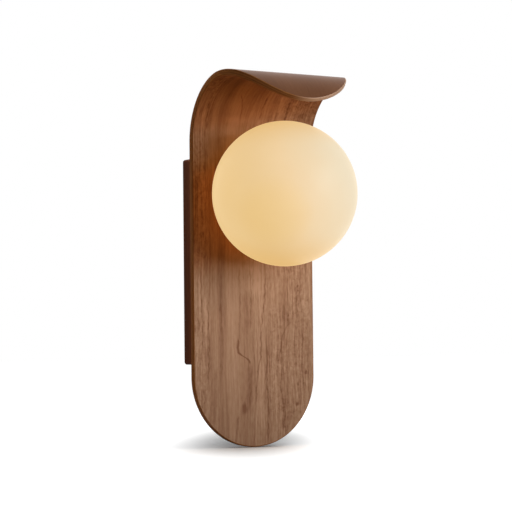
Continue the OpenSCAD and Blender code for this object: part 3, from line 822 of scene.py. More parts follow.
@dataclass(frozen=True)
class Matt:
    """Matt coat, moulding or fired stuff: two close shades, a fine grain, a soft gloss, and a glow if lit."""

    name: str
    shades: tuple[Tint, Tint]
    rough: Span
    cloud: Layer = Layer(350.0, detail=4.0, rough=0.65)
    grain: Layer = Layer(2200.0)
    relief: Relief = Relief(0.03 * MM, 0.35)
    specular: float = 0.4
    thread: Thread | None = None
    glow: tuple[Tint, Tint] | None = None

    def build(self) -> bpy.types.Material:
        """Make the stuff's material.

        Returns:
            The material.
        """
        g = Surface(self.name)
        cloud, grain = self.cloud.draw(g, g.place()), self.grain.draw(g, g.place())
        roughen(g, grain, self.relief, self.thread)
        if self.glow:
            g.dress(Emission_Color=g.ramp(cloud, self.glow), Emission_Strength=1.0)
        colour, rough = g.ramp(cloud, self.shades), g.between(grain, *self.rough)
        return g.dress(Base_Color=colour, Roughness=rough, Specular_IOR_Level=self.specular)


@dataclass(frozen=True)
class Metal:
    """Bare or plated metal with clouds, fine draw lines and a changing gloss."""

    name: str
    shades: tuple[Tint, Tint]
    rough: Span
    cloud: Layer = Layer(140.0, 0.7, detail=4.0, rough=0.6)
    drawn: Layer = Layer((400.0, 400.0, 2500.0), 0.3)
    relief: Relief = Relief(0.02 * MM, 0.25)
    thread: Thread | None = None

    def build(self) -> bpy.types.Material:
        """Make the metal's material.

        Returns:
            The material.
        """
        g = Surface(self.name)
        cloud, drawn = self.cloud.draw(g, g.place()), self.drawn.draw(g, g.place())
        tone = g.total(g.times(cloud, self.cloud.weight), g.times(drawn, self.drawn.weight))
        roughen(g, drawn, self.relief, self.thread)
        colour, rough = g.ramp(tone, self.shades), g.between(tone, *self.rough)
        return g.dress(Base_Color=colour, Roughness=rough, Metallic=1.0)


@dataclass(frozen=True)
class Insulation:
    """Silicone sleeve of a lead, with a second colour in stripes that wind slowly along it."""

    name: str
    colour: Tint
    stripe: Tint
    shaded: float = 0.82
    shade_stops: Span = (0.25, 0.75)
    wind: float = 24.0
    stripes: float = 2.0
    stripe_edge: Span = (0.52, 0.6)
    rib: Layer = Layer((900.0, 3.0, 0.0))
    relief: Relief = Relief(0.03 * MM, 0.3)
    rough: Span = (0.45, 0.6)

    def build(self) -> bpy.types.Material:
        """Make the sleeve's material.

        Returns:
            The material.
        """
        g = Surface(self.name)
        run = g.attribute("run")
        along, turn, _ = g.parts(run)
        rib = self.rib.draw(g, run)
        wound = g.math("MULTIPLY_ADD", along, self.wind, g.times(turn, self.stripes))
        share = g.step(g.math("PINGPONG", wound, 1.0), *self.stripe_edge)
        dark = tuple(self.shaded * value for value in self.colour)
        colour = g.mix(share, g.ramp(rib, (dark, self.colour), self.shade_stops), self.stripe)
        g.bump(rib, self.relief)
        return g.dress(Base_Color=colour, Roughness=g.between(rib, *self.rough))


class PaintShop:
    """Makes each finish once and gives it out again."""

    def __init__(self) -> None:
        """Start with nothing made."""
        self.made: dict[Finish, bpy.types.Material] = {}

    def get(self, finish: Finish) -> bpy.types.Material:
        """Give the finish's material, made on its first call.

        Args:
            finish: The finish.

        Returns:
            Its material.
        """
        if finish not in self.made:
            self.made[finish] = finish.build()
        return self.made[finish]

    def paint(self, mesh: bpy.types.Mesh, *finishes: Finish) -> None:
        """Add finishes to a mesh's material slots, in this order.

        Args:
            mesh: The mesh.
            finishes: The finishes.
        """
        for finish in finishes:
            mesh.materials.append(self.get(finish))


def turns(count: int) -> list[float]:
    """Give equal steps of a full turn, in radians."""
    return [FULL_TURN * k / count for k in range(count)]


def eased(arris: float, steps: int) -> list[Span]:
    """Give the section of a rounded edge, from the face to the side.

    Args:
        arris: Radius of the edge.
        steps: Steps round it.

    Returns:
        Pairs of the distance inwards from the side and the depth below the face.
    """
    angles = [QUARTER_TURN * k / steps for k in range(steps + 1)]
    return [(arris * (1 - math.sin(a)), arris * (1 - math.cos(a))) for a in angles]


class Shape:
    """A mesh being built from rings of points."""

    def __init__(self) -> None:
        """Start with an empty mesh."""
        self.bm = bmesh.new()

    def skin(self, rings: Sequence[Ring], paint: Sequence[int] = (), caps: bool = False) -> None:
        """Join each ring to the next with faces.

        Args:
            rings: Rings with equal numbers of points.
            paint: Material number of each strip between two rings.
            caps: Whether the first and the last ring are filled.
        """
        rows = [[self.bm.verts.new(point) for point in ring] for ring in rings]
        for index, (row, after) in enumerate(zip(rows, rows[1:])):
            for k, vert in enumerate(row):
                n = (k + 1) % len(row)
                face = self.bm.faces.new((vert, row[n], after[n], after[k]))
                face.material_index = paint[index] if paint else 0
        if caps:
            self.bm.faces.new(rows[0])
            self.bm.faces.new(rows[-1])

    def rod(self, ends: Sequence[Point], radii: Span, sides: int = ROUND_SIDES) -> None:
        """Add a closed cylinder or cone.

        Args:
            ends: Middles of its two ends, in mm.
            radii: Radii at both ends, in mm.
            sides: Number of sides.
        """
        start, end = (Vector(point) * MM for point in ends)
        line = (end - start).normalized()
        side = line.orthogonal().normalized()
        other = line.cross(side)
        rings = []
        for middle, radius in zip((start, end), radii):
            arms = [side * math.cos(a) + other * math.sin(a) for a in turns(sides)]
            rings.append([middle + radius * MM * arm for arm in arms])
        self.skin(rings, caps=True)

    def bore(self, place: Span, ends: Span, radii: Span, sides: int = ROUND_SIDES) -> None:
        """Add a rod from the front to the back.

        Args:
            place: Its middle across and up, in mm.
            ends: Its two ends along y, in mm.
            radii: Radii at both ends, in mm.
            sides: Number of sides.
        """
        x, z = place
        self.rod([(x, y, z) for y in ends], radii, sides)

    def mesh(self, name: str) -> bpy.types.Mesh:
        """Close the work on the mesh.

        Args:
            name: Name of the mesh.

        Returns:
            The mesh, with merged points and outward faces.
        """
        bmesh.ops.remove_doubles(self.bm, verts=self.bm.verts, dist=MERGE_BELOW)
        bmesh.ops.recalc_face_normals(self.bm, faces=self.bm.faces)
        mesh = bpy.data.meshes.new(name)
        self.bm.to_mesh(mesh)
        self.bm.free()
        return mesh


def new_object(name: str, data: bpy.types.ID) -> bpy.types.Object:
    """Put a mesh, a lamp or a camera into the scene.

    Args:
        name: Name of the object.
        data: What it shows.

    Returns:
        The object.
    """
    thing = bpy.data.objects.new(name, data)
    bpy.context.scene.collection.objects.link(thing)
    return thing


def cut_out(piece: bpy.types.Object, cutter: Shape) -> None:
    """Take a shape out of a piece for good.

    Args:
        piece: The piece to cut.
        cutter: The shape to take out.
    """
    tool = new_object("cutter", cutter.mesh("cutter"))
    cut = piece.modifiers.new("cut", "BOOLEAN")
    cut.operation = "DIFFERENCE"
    cut.solver = "EXACT"
    cut.object = tool
    bpy.context.view_layer.update()
    graph = bpy.context.evaluated_depsgraph_get()
    mesh = bpy.data.meshes.new_from_object(
        piece.evaluated_get(graph), preserve_all_data_layers=True, depsgraph=graph
    )
    mesh.name = piece.name
    piece.modifiers.clear()
    piece.data = mesh
    bpy.data.objects.remove(tool)


def shade(mesh: bpy.types.Mesh) -> None:
    """Shade a mesh smooth and keep its hard edges."""
    mesh.shade_smooth()
    mesh.set_sharp_from_angle(angle=SMOOTH_BELOW)


def carry(mesh: bpy.types.Mesh, name: str, values: Iterable[Point]) -> None:
    """Store a vector with each point of a mesh, for its material.

    Args:
        mesh: The mesh.
        name: Name of the stored vectors.
        values: One vector per point.
    """
    layer = mesh.attributes.new(name, "FLOAT_VECTOR", "POINT")
    layer.data.foreach_set("vector", [number for value in values for number in value])


def settle(piece: bpy.types.Object, body: Body, slot: Slot, *nodes: str) -> None:
    """Let a finished piece ride on its body and stand for its CAD nodes.

    Args:
        piece: The piece.
        body: Body that it moves with.
        slot: Record slot of its finish; not used.
        nodes: CAD nodes that it replaces.
    """
    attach(piece, body.value)
    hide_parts(*nodes)
    LOG.info("piece %s rides on %s for %s", piece.name, body.value, ", ".join(nodes))


@dataclass(frozen=True)
class Drilling:
    """Holes that the panel and the box share: sizes and places in mm, turns in degrees."""

    globe_z: float = GLOBE_CENTRE[2]
    tube_r: float = 5.2
    hub_r: float = 1.55
    hub_circle: float = 26.0
    hub_turns: Point = (90.0, 210.0, 330.0)
    wood_x: float = 46.0
    wood_z: float = 82.0
    # How far a cutter stands out of the wood.
    over: float = 1.0

    @property
    def stem(self) -> Span:
        """Place of the stem, across and up."""
        return 0.0, self.globe_z

    @property
    def hub_screws(self) -> list[Span]:
        """Places of the hub's screws, across and up."""
        arms = [(math.cos(a), math.sin(a)) for a in map(math.radians, self.hub_turns)]
        return [(self.hub_circle * x, self.globe_z + self.hub_circle * z) for x, z in arms]

    @property
    def wood_screws(self) -> list[Span]:
        """Places of the wood screws, across and up."""
        return [(x, z) for x in (-self.wood_x, self.wood_x) for z in (-self.wood_z, self.wood_z)]


FACE_VENEER = WalnutVeneer(
    name="walnut_face",
    tones=((0.178, 0.068, 0.028), (0.32, 0.163, 0.082), (0.46, 0.255, 0.142)),
    # Painted shade and the globe's painted warm glow: redder tones behind and beside the globe and under the
    # hood.
    painted_glow_tones=((0.165, 0.048, 0.011), (0.36, 0.132, 0.045), (0.515, 0.2, 0.078)),
    painted_glow_share=(
        (-330, 0.0), (-150, 0.0), (-137, 0.05), (-124, 0.28), (-112, 0.7), (-98, 1.0), (-40, 1.0),
        (-20, 0.8), (6, 0.2), (25, 0.45), (55, 1.0), (75, 1.0), (170, 1.0),
    ),
    painted_glow_tilt=-0.2,
    figure=(
        (-84, 0.5), (-70, 0.52), (-63, 0.56), (-55, 0.41), (-49, 0.53), (-41, 0.35), (-33, 0.53),
        (-26, 0.62), (-18, 0.49), (-9, 0.42), (-3, 0.44), (5, 0.6), (12, 0.53), (16, 0.4), (24, 0.57),
        (31, 0.5), (37, 0.41), (46, 0.58), (55, 0.5), (66, 0.53), (84, 0.5),
    ),
    # Painted light and shade along the sheet: lighter just below the globe and where the curl starts, much
    # darker up under the hood's crown; a little darker towards the bottom end.
    painted_light_and_shade_along=(
        (-330, 0.47), (-250, 0.51), (-190, 0.51), (-150, 0.63), (-118, 0.53), (-60, 0.5), (-20, 0.5),
        (6, 0.6), (40, 0.46), (68, 0.32), (86, 0.14), (110, 0.08), (170, 0.06),
    ),
    lively=(
        (-84, 0.95), (-60, 0.9), (-48, 0.42), (-14, 0.38), (-4, 0.6), (8, 0.75), (30, 0.8), (84, 0.9),
    ),
    marks=(
        Mark(
            ((-262, -40), (-239, -41.5), (-226, -40.5), (-196, -40.6), (-164, -41), (-128, -41.3)),
            3.2, -0.23,
        ),
        Mark(((-300, -51), (-266, -49.2), (-248, -49), (-232, -46)), 3.5, -0.28),
        Mark(((-198, -5.3), (-163, -4.2), (-128, -5.4)), 1.5, -0.4),
        Mark(((-205, -11), (-164, -10.3), (-125, -11.2)), 6.0, -0.18),
        Mark(((-233, -6.5), (-226, -9.1), (-222, -17.1), (-217, -20.4), (-204, -19.4)), 2.3, -0.85),
        Mark(((-215, -20.2), (-201, -19.2), (-175, -17.8), (-150, -18.2), (-126, -19)), 1.8, -0.34),
        # Painted shade: a broad dark band on the right, beside the globe's top and up inside the hood.
        Mark(((-30, 62), (10, 62), (70, 58)), 24.0, -0.3),
        # Painted light: a light band on the left beside the globe's upper half, where some lamp light gets
        # past the globe.
        Mark(((-45, -52), (0, -52), (32, -50)), 8.0, 0.22),
        # Painted light: a broad light band just below the globe and behind its lower part.
        Mark(((-164, -2), (-134, -2), (-88, -2)), 28.0, 0.42),
        Mark(((-196, 46), (-160, 46), (-122, 46)), 30.0, -0.18),
        # Painted light: a broad light band left of the middle, behind the globe's upper left and above it.
        Mark(((-20, -28), (4, -29), (34, -24)), 26.0, 0.32),
        Mark(((-286, -12), (-267, -7.8), (-248, -6.4), (-229, -6.2)), 5.5, -0.32),
        Mark(((-316, -24), (-306, -23), (-284, -21.5)), 2.5, -0.36),
        Mark(
            (
                (-284, 0.7), (-255, 2.2), (-232, 5), (-226, 6.8), (-198, 7.8), (-181, 10), (-159, 12.9),
                (-126, 14.1),
            ),
            1.6, -0.5,
        ),
        Mark(((-318, 13.8), (-267, 15.7), (-247, 13.5), (-224, 15.7), (-208, 17.8)), 1.5, -0.45),
        Mark(((-233, 28.7), (-215, 32.6), (-195, 37.9), (-186, 48)), 1.8, -0.34),
        Mark(((-310, 33.5), (-278, 35.6), (-255, 32.1), (-239, 33.5), (-222, 30.9)), 1.8, -0.4),
        Mark(((-232, -65), (-195, -63), (-164, -65), (-132, -66)), 1.3, -0.36),
        Mark(((-272, -60), (-220, -55.6), (-177, -56.7), (-150, -57.7)), 1.5, -0.36),
        Mark(((-220, -60.1), (-190, -59.2), (-160, -60.2)), 2.4, 0.28),
        Mark(((-190, -66.4), (-165, -66.5), (-140, -66.6)), 2.0, 0.3),
        Mark(((-260, 61.2), (-228, 59), (-192, 60.7)), 2.0, -0.32),
        Mark(((26, 5.5), (38, 4.6), (60, 5.4)), 1.6, -0.45),
        Mark(((26, 36), (38, 36), (55, 34.7)), 2.3, -0.5),
        Mark(((36, 26), (43, 25.6), (62, 22)), 3.0, 0.24),
        Mark(((24, -19), (45, -21.6), (62, -29)), 1.4, -0.32),
        Mark(((3, -58.8), (28, -58.9), (47, -61)), 1.9, -0.42),
        Mark(((3, -63.8), (26, -64.3), (40, -64.2)), 2.0, 0.28),
        Mark(((16, -5.7), (31, -5.4), (48, -5.7)), 4.0, 0.18),
    ),
    knots=(
        Knot(-13.5, -278.0, (3.5, 9.0), -0.34),
        Knot(54.5, -149.0, (1.7, 2.4), -0.5),
        Knot(54.9, -154.0, (1.5, 2.0), -0.4),
        Knot(41.3, -185.0, (1.7, 2.2), -0.45),
        Knot(41.9, -180.5, (1.3, 1.7), -0.35),
        Knot(67.0, -164.0, (1.6, 2.2), -0.35),
        Knot(64.6, -194.0, (1.6, 2.5), -0.35),
        Knot(64.0, -241.0, (1.9, 3.5), -0.55),
        Knot(53.6, -253.6, (2.1, 3.0), -0.5),
        Knot(52.1, -274.8, (2.5, 3.0), -0.5),
        Knot(51.4, -232.0, (3.2, 3.0), -0.26),
    ),
)
BACK_VENEER = WalnutVeneer(
    name="walnut_back",
    tones=((0.129, 0.046, 0.0185), (0.189, 0.072, 0.0285), (0.249, 0.101, 0.042)),
    figure=((-84, 0.5), (-50, 0.42), (-20, 0.56), (10, 0.46), (40, 0.55), (84, 0.48)),
    shift=900.0,
    contrast=0.7,
    rough=(0.3, 0.4),
)


@dataclass
class BentPanel:
    """Moulded plywood panel: flat below, curled forward at the top, both ends half round; sizes in mm."""

    half_width: float = 74.0
    thickness: float = 6.5
    arris: float = 1.0
    face_y: float = -34.5
    curl_y: float = -96.5
    curl_z: float = 123.5
    lip_z: float = 139.0
    hood_r: float = 62.0
    lip_r: float = 46.5
    low_centre: float = -244.5
    high_centre: float = 85.8
    wood_hole_r: float = 1.8
    wood_hole_depth: float = 4.8
    flat_steps: int = 30
    curl_steps: int = 46
    end_steps: int = 96
    face_steps: int = 26
    arris_steps: int = 5
    # Insets of the last rings on a face, which keep its shading flat up to the edge.
    near_arris: Span = (1.9, 1.35)
    wood_sides: int = 24
    drilling: Drilling = Drilling()
    face: WalnutVeneer = FACE_VENEER
    edge: PlyEdge = PlyEdge()
    back: WalnutVeneer = BACK_VENEER

    @property
    def hood_arc(self) -> float:
        """Length of the hood's quarter turn, at half thickness."""
        return (self.hood_r + self.thickness / 2) * QUARTER_TURN

    def curled(self, x: float, s: float, h: float) -> Vector:
        """Carry a point of the flat sheet onto the curled panel.

        Args:
            x: Place across the sheet, in mm.
            s: Place along the sheet, in mm, 0 where the curl starts.
            h: Depth behind the front face, in mm.

        Returns:
            The point, in metres.
        """
        if s <= 0:
            return Vector((x, self.face_y + h, self.curl_z + s)) * MM
        if s <= self.hood_arc:
            turn, middle, radius = s / (self.hood_r + self.thickness / 2), self.curl_z, self.hood_r
        else:
            turn = QUARTER_TURN + (s - self.hood_arc) / (self.lip_r + self.thickness / 2)
            middle, radius = self.lip_z, self.lip_r
        reach = radius + h
        return Vector((x, self.curl_y + reach * math.cos(turn), middle + reach * math.sin(turn))) * MM

    def uncurled(self, point: Vector) -> Point:
        """Find a point of the panel on the flat sheet.

        Args:
            point: The point, in metres.

        Returns:
            Place across, place along and depth, in metres.
        """
        x, y, z = point / MM
        if z <= self.curl_z:
            return x * MM, (z - self.curl_z) * MM, (y - self.face_y) * MM
        if y >= self.curl_y:
            middle, radius, start, base = self.curl_z, self.hood_r, 0.0, 0.0
        else:
            middle, radius, start, base = self.lip_z, self.lip_r, self.hood_arc, QUARTER_TURN
        turn = math.atan2(z - middle, y - self.curl_y) - base
        reach = math.hypot(y - self.curl_y, z - middle)
        return x * MM, (start + turn * (radius + self.thickness / 2)) * MM, (reach - radius) * MM

    def stations(self) -> list[float]:
        """Give the places along the straight sides, coarse on the flat and fine in the curl.

        Returns:
            Places in mm, rising.
        """
        flat = [self.low_centre * (1 - k / self.flat_steps) for k in range(self.flat_steps)]
        return flat + [self.high_centre * k / self.curl_steps for k in range(self.curl_steps + 1)]

    def ring(self, inset: float, depth: float) -> Ring:
        """Give the sheet's outline, moved inwards, on the curled panel.

        Args:
            inset: Distance inwards from the edge, in mm.
            depth: Depth behind the front face, in mm.

        Returns:
            Points in metres.
        """
        radius = self.half_width - inset
        sides = self.stations()
        half_turns = [math.pi * k / self.end_steps for k in range(1, self.end_steps)]
        flat = [(radius, s) for s in sides]
        flat += [(radius * math.cos(a), self.high_centre + radius * math.sin(a)) for a in half_turns]
        flat += [(-radius, s) for s in reversed(sides)]
        flat += [(-radius * math.cos(a), self.low_centre - radius * math.sin(a)) for a in half_turns]
        return [self.curled(x, s, depth) for x, s in flat]

    def rings(self) -> tuple[list[Ring], list[int]]:
        """Lay rings from the middle of the front face over the edge to the middle of the back.

        Returns:
            The rings, and the material number of each strip between them.
        """
        insets = [self.half_width * (1 - k / self.face_steps) for k in range(self.face_steps)]
        front = [(inset, 0.0) for inset in (*insets, *self.near_arris, self.arris)]
        rounded = eased(self.arris, self.arris_steps)[1:]
        back = [(inset, self.thickness - depth) for inset, depth in reversed(front + rounded)]
        plan = front + rounded + back
        face_strips = len(front) - 1
        edge_strips = len(plan) - 1 - 2 * face_strips
        return [self.ring(*step) for step in plan], [0] * face_strips + [1] * edge_strips + [2] * face_strips

    def holes(self) -> Shape:
        """Shape the stem's hole, the hub's screw holes and the blind holes of the wood screws.

        Returns:
            All holes as one shape.
        """
        shape, drill = Shape(), self.drilling
        rear = self.face_y + self.thickness
        through = self.face_y - drill.over, rear + drill.over
        blind = rear - self.wood_hole_depth, rear + drill.over
        shape.bore(drill.stem, through, (drill.tube_r, drill.tube_r))
        for place in drill.hub_screws:
            shape.bore(place, through, (drill.hub_r, drill.hub_r))
        for place in drill.wood_screws:
            shape.bore(place, blind, (self.wood_hole_r, self.wood_hole_r), self.wood_sides)
        return shape

    def build(self, shop: PaintShop) -> bpy.types.Object:
        """Build and dress the panel.

        Args:
            shop: Gives the finishes.

        Returns:
            The panel.
        """
        shape = Shape()
        shape.skin(*self.rings())
        mesh = shape.mesh("bent_walnut_panel")
        shop.paint(mesh, self.face, self.edge, self.back)
        piece = new_object("bent_walnut_panel", mesh)
        cut_out(piece, self.holes())
        carry(piece.data, "developed", (self.uncurled(vert.co) for vert in piece.data.vertices))
        shade(piece.data)
        settle(piece, Body.FIXTURE, Slot.WALNUT_PLY, "bent_panel")
        return piece


@dataclass
class WallBox:
    """Shallow box between panel and wall, open towards the wall; sizes in mm."""

    width: float = 132.0
    height: float = 216.0
    depth: float = 28.0
    side: float = 8.0
    front: float = 6.0
    corner: float = 3.0
    corner_steps: int = 8
    pocket_corner: float = 5.0
    arris: float = 0.7
    arris_steps: int = 4
    # Inset and corner of the rings that close the front and the pocket's floor.
    front_ring: Span = (6.0, 1.0)
    floor_ring: Span = (12.0, 2.0)
    hub_hole_depth: float = 3.3
    hub_sides: int = 24
    wood_hole_r: float = 2.05
    sink_r: float = 3.8
    sink_depth: float = 2.2
    sink_over: float = 0.5
    neck_over: float = 0.2
    lock_y: float = -12.0
    lock_hole_r: float = 2.3
    screw_sides: int = 32
    # A face takes the level grain where its normal rises or falls by more than this.
    level_above: float = 0.7
    drilling: Drilling = Drilling()
    upright: DarkWalnut = DarkWalnut("dark_walnut_upright", Grain.UPRIGHT)
    level: DarkWalnut = DarkWalnut("dark_walnut_level", Grain.LEVEL)

    def outline(self, inset: float, corner: float, y: float) -> Ring:
        """Give a rounded rectangle round the box's middle.

        Args:
            inset: Distance inwards from the outside, in mm.
            corner: Radius of its corners, in mm.
            y: Its place along y, in mm.

        Returns:
            Points in metres.
        """
        half_x, half_z = self.width / 2 - inset - corner, self.height / 2 - inset - corner
        ring = []
        for quarter, (sx, sz) in enumerate(((1, 1), (-1, 1), (-1, -1), (1, -1))):
            for k in range(self.corner_steps + 1):
                a = QUARTER_TURN * (quarter + k / self.corner_steps)
                x, z = sx * half_x + corner * math.cos(a), sz * half_z + corner * math.sin(a)
                ring.append(Vector((x, y, z)) * MM)
        return ring

    def shell(self) -> Shape:
        """Shape the box: front board, sides with eased arrises, pocket.

        Returns:
            The shape.
        """
        y_front, y_floor = -self.depth, self.front - self.depth
        easing = eased(self.arris, self.arris_steps)
        plan = [(*self.front_ring, y_front)]
        plan += [(inset, self.corner - inset, y_front + depth) for inset, depth in easing]
        plan += [(inset, self.corner - inset, -depth) for inset, depth in reversed(easing)]
        plan += [(self.side - inset, self.pocket_corner + inset, -depth) for inset, depth in easing]
        plan += [(self.side, self.pocket_corner, y_floor), (*self.floor_ring, y_floor)]
        shape = Shape()
        shape.skin([self.outline(*step) for step in plan], caps=True)
        return shape

    def holes(self) -> Shape:
        """Shape the holes for the stem, the hub's screws, the wood screws and the lock screws.

        Returns:
            All holes as one shape.
        """
        shape, drill = Shape(), self.drilling
        front, floor = -self.depth - drill.over, self.front - self.depth
        shape.bore(drill.stem, (front, floor + drill.over), (drill.tube_r, drill.tube_r))
        for place in drill.hub_screws:
            ends = front, self.hub_hole_depth - self.depth
            shape.bore(place, ends, (drill.hub_r, drill.hub_r), self.hub_sides)
        r, neck = self.wood_hole_r, floor - self.sink_depth
        top = self.sink_r + (self.sink_r - r) / self.sink_depth * self.sink_over
        for place in drill.wood_screws:
            shape.bore(place, (front, neck + self.neck_over), (r, r), self.screw_sides)
            shape.bore(place, (neck, floor + self.sink_over), (r, top), self.screw_sides)
        inner, outer = self.height / 2 - self.side - drill.over, self.height / 2 + drill.over
        for sign in (-1, 1):
            ends = [(0.0, self.lock_y, sign * z) for z in (inner, outer)]
            shape.rod(ends, (self.lock_hole_r, self.lock_hole_r), self.screw_sides)
        return shape

    def build(self, shop: PaintShop) -> None:
        """Build and dress the box.

        Args:
            shop: Gives the finishes.
        """
        mesh = self.shell().mesh("dark_wall_box")
        shop.paint(mesh, self.upright, self.level)
        piece = new_object("dark_wall_box", mesh)
        cut_out(piece, self.holes())
        for face in piece.data.polygons:
            face.material_index = 1 if abs(face.normal.z) > self.level_above else 0
        shade(piece.data)
        settle(piece, Body.FIXTURE, Slot.DARK_WALNUT, "wall_box")


@dataclass
class OpalGlobe:
    """Blown opal globe with a ground mouth; sizes in mm."""

    centre: Point = GLOBE_CENTRE
    outer_r: float = GLOBE_R
    inner_r: float = 72.0
    mouth_y: float = -37.2
    rim: float = 0.8
    sides: int = 128
    arc_steps: int = 60
    glass: OpalGlass = OpalGlass()

    def profile(self) -> list[Span]:
        """Give the wall's section from the outer pole over the mouth to the inner pole.

        Returns:
            Pairs of radius and y, in mm.
        """
        outside = self.half_section(self.outer_r, -self.rim)
        inside = self.half_section(self.inner_r, self.rim)
        return outside + inside[::-1]

    def half_section(self, radius: float, rim: float) -> list[Span]:
        """Give one side of the wall, from its pole to the mouth, and the eased edge there.

        Args:
            radius: Radius of that side, in mm.
            rim: Width of the edge, in mm, below 0 where it turns inwards.

        Returns:
            Pairs of radius and y, in mm.
        """
        _, middle, _ = self.centre
        end = math.acos((self.mouth_y - middle) / radius)
        angles = [math.pi - (math.pi - end) * k / self.arc_steps for k in range(self.arc_steps + 1)]
        arc = [(radius * math.sin(a), middle + radius * math.cos(a)) for a in angles]
        (r_end, y_end), (r_near, y_near) = arc[-1], arc[-2]
        back = abs(rim) / math.hypot(r_end - r_near, y_end - y_near)
        start = (r_end + (r_near - r_end) * back, y_end + (y_near - y_end) * back)
        flat = (r_end + rim, y_end)
        soft = ((start[0] + flat[0] + 2 * r_end) / 4, (start[1] + flat[1] + 2 * y_end) / 4)
        return arc[:-1] + [start, soft, flat]

    def build(self, shop: PaintShop) -> None:
        """Build and dress the globe.

        Args:
            shop: Gives the finishes.
        """
        x0, _, z0 = self.centre
        rings = [
            [Vector((x0 + r * math.cos(a), y, z0 + r * math.sin(a))) * MM for a in turns(self.sides)]
            for r, y in self.profile()
        ]
        shape = Shape()
        shape.skin(rings)
        mesh = shape.mesh("opal_globe")
        shop.paint(mesh, self.glass)
        shade(mesh)
        settle(new_object("opal_globe", mesh), Body.GLOBE, Slot.OPAL_GLASS, "globe")


@dataclass(frozen=True)
class Lead:
    """Insulated lead that starts upright and follows a smooth route; sizes in mm."""

    name: str
    node: str
    slot: Slot
    finish: Insulation
    route: tuple[Point, ...]
    radius: float = 0.9
    sides: int = 18
    steps: int = 9

    def line(self) -> list[Vector]:
        """Give points along the route, each span bent to its neighbours.

        Returns:
            Points in mm.
        """
        knots = [Vector(point) for point in self.route]
        knots = [2 * knots[0] - knots[1], *knots, 2 * knots[-1] - knots[-2]]
        points = []
        for a, b, c, d in zip(knots, knots[1:], knots[2:], knots[3:]):
            for k in range(self.steps):
                t = k / self.steps
                bend = (2 * a - 5 * b + 4 * c - d) * t * t + (3 * b - a - 3 * c + d) * t ** 3
                points.append((2 * b + (c - a) * t + bend) / 2)
        return points + [knots[-2]]

    def build(self, shop: PaintShop) -> None:
        """Build and dress the lead.

        Args:
            shop: Gives the finishes.
        """
        points = self.line()
        side = Vector((1, 0, 0))
        rings, run, length = [], [], 0.0
        for index, point in enumerate(points):
            before, after = points[max(index - 1, 0)], points[min(index + 1, len(points) - 1)]
            ahead = (after - before).normalized()
            side = (side - ahead * side.dot(ahead)).normalized()
            other = ahead.cross(side)
            length += (point - before).length
            arms = [side * math.cos(a) + other * math.sin(a) for a in turns(self.sides)]
            rings.append([(point + self.radius * arm) * MM for arm in arms])
            run += [(length * MM, k / self.sides, 0.0) for k in range(self.sides)]
        shape = Shape()
        shape.skin(rings, caps=True)
        mesh = shape.mesh(self.name)
        carry(mesh, "run", run)
        shop.paint(mesh, self.finish)
        shade(mesh)
        settle(new_object(self.name, mesh), Body.FIXTURE, self.slot, self.node)


def pole_route(side: int) -> tuple[Point, ...]:
    """Give the route of a lead from the terminal block through the stem to the lampholder.

    Args:
        side: -1 for the lead on the left, which runs above in the stem, or 1 for the other.

    Returns:
        Points in mm.
    """
    middle = GLOBE_CENTRE[2]
    outside = [(9.5, -8.5, -74), (9.5, -8.5, -66), (11, -9, -57), (15, -9, -44), (16, -9, -20), (16, -9, 20)]
    rising = [(15, -9, 45), (11, -8.5, 58.5), (5, -8.5, 65.3), (1.5, -10.5, 67.3)]
    in_stem = [(0, y, middle) for y in (-14.5, -19.4, -29.7, -44)]
    apart = 1.2
    parting = [(-47, 1.8), (-50, 3.8), (-52.5, 4.5), (-55, 4.5), (-57, 4.5), (-60, 4.5)]
    route = [(side * x, y, z) for x, y, z in outside]
    route += [(side * x, y, z - side * apart) for x, y, z in rising + in_stem]
    return (*route, *((0, y, middle - side * off) for y, off in parting))


@dataclass
class Wiring:
    """The three inner leads between the terminal block, the lampholder and the earth lug."""

    live: Lead = Lead(
        "live_lead_sleeve", "live_lead", Slot.BROWN_INSULATION,
        Insulation("brown_sleeve", (0.15, 0.06, 0.025), (0.14, 0.056, 0.024)),
        pole_route(-1),
    )
    neutral: Lead = Lead(
        "neutral_lead_sleeve", "neutral_lead", Slot.BLUE_INSULATION,
        Insulation("blue_sleeve", (0.05, 0.16, 0.45), (0.047, 0.15, 0.43)),
        pole_route(1),
    )
    earth: Lead = Lead(
        "earth_lead_sleeve", "earth_lead", Slot.GREEN_INSULATION,
        Insulation("green_yellow_sleeve", (0.05, 0.26, 0.035), (0.74, 0.6, 0.04)),
        (
            (0, -8.5, -74), (0, -8.5, -66), (3, -10, -60), (12, -12, -54), (20, -13, -42),
            (23, -13, -20), (23, -13, 10), (21, -15, 28), (16.5, -18, 38.92), (13, -18.7, 44.98),
            (11, -18.7, 48.45), (9, -18.7, 51.91),
        ),
    )

    def build(self, shop: PaintShop) -> None:
        """Build the three leads.

        Args:
            shop: Gives the finishes.
        """
        for lead in (self.live, self.neutral, self.earth):
            lead.build(shop)


ZINC = Metal("zinc_plate", ((0.34, 0.35, 0.37), (0.5, 0.51, 0.525)), rough=(0.28, 0.46))
BRIGHT = Metal("bright_zinc", ((0.55, 0.56, 0.58), (0.7, 0.71, 0.72)), rough=(0.2, 0.34))
BRASS = Metal("turned_brass", ((0.6, 0.4, 0.14), (0.77, 0.56, 0.24)), rough=(0.22, 0.4))
STEM_THREAD = Thread(pitch=MM, radius=5 * MM, band=0.6 * MM, relief=Relief(0.5 * MM, 0.9))
BRASS_THREAD = replace(BRASS, name="threaded_brass", rough=(0.25, 0.42), thread=STEM_THREAD)
COLLAR_THREAD = Thread(pitch=4 * MM, radius=38.3 * MM, band=0.4 * MM, relief=Relief(1.2 * MM, 0.9))
COLLAR_COAT = Matt(
    "white_coat_collar", ((0.74, 0.73, 0.69), (0.83, 0.82, 0.78)), rough=(0.4, 0.54),
    cloud=Layer(60.0, detail=3.0), grain=Layer(1500.0), thread=COLLAR_THREAD,
)
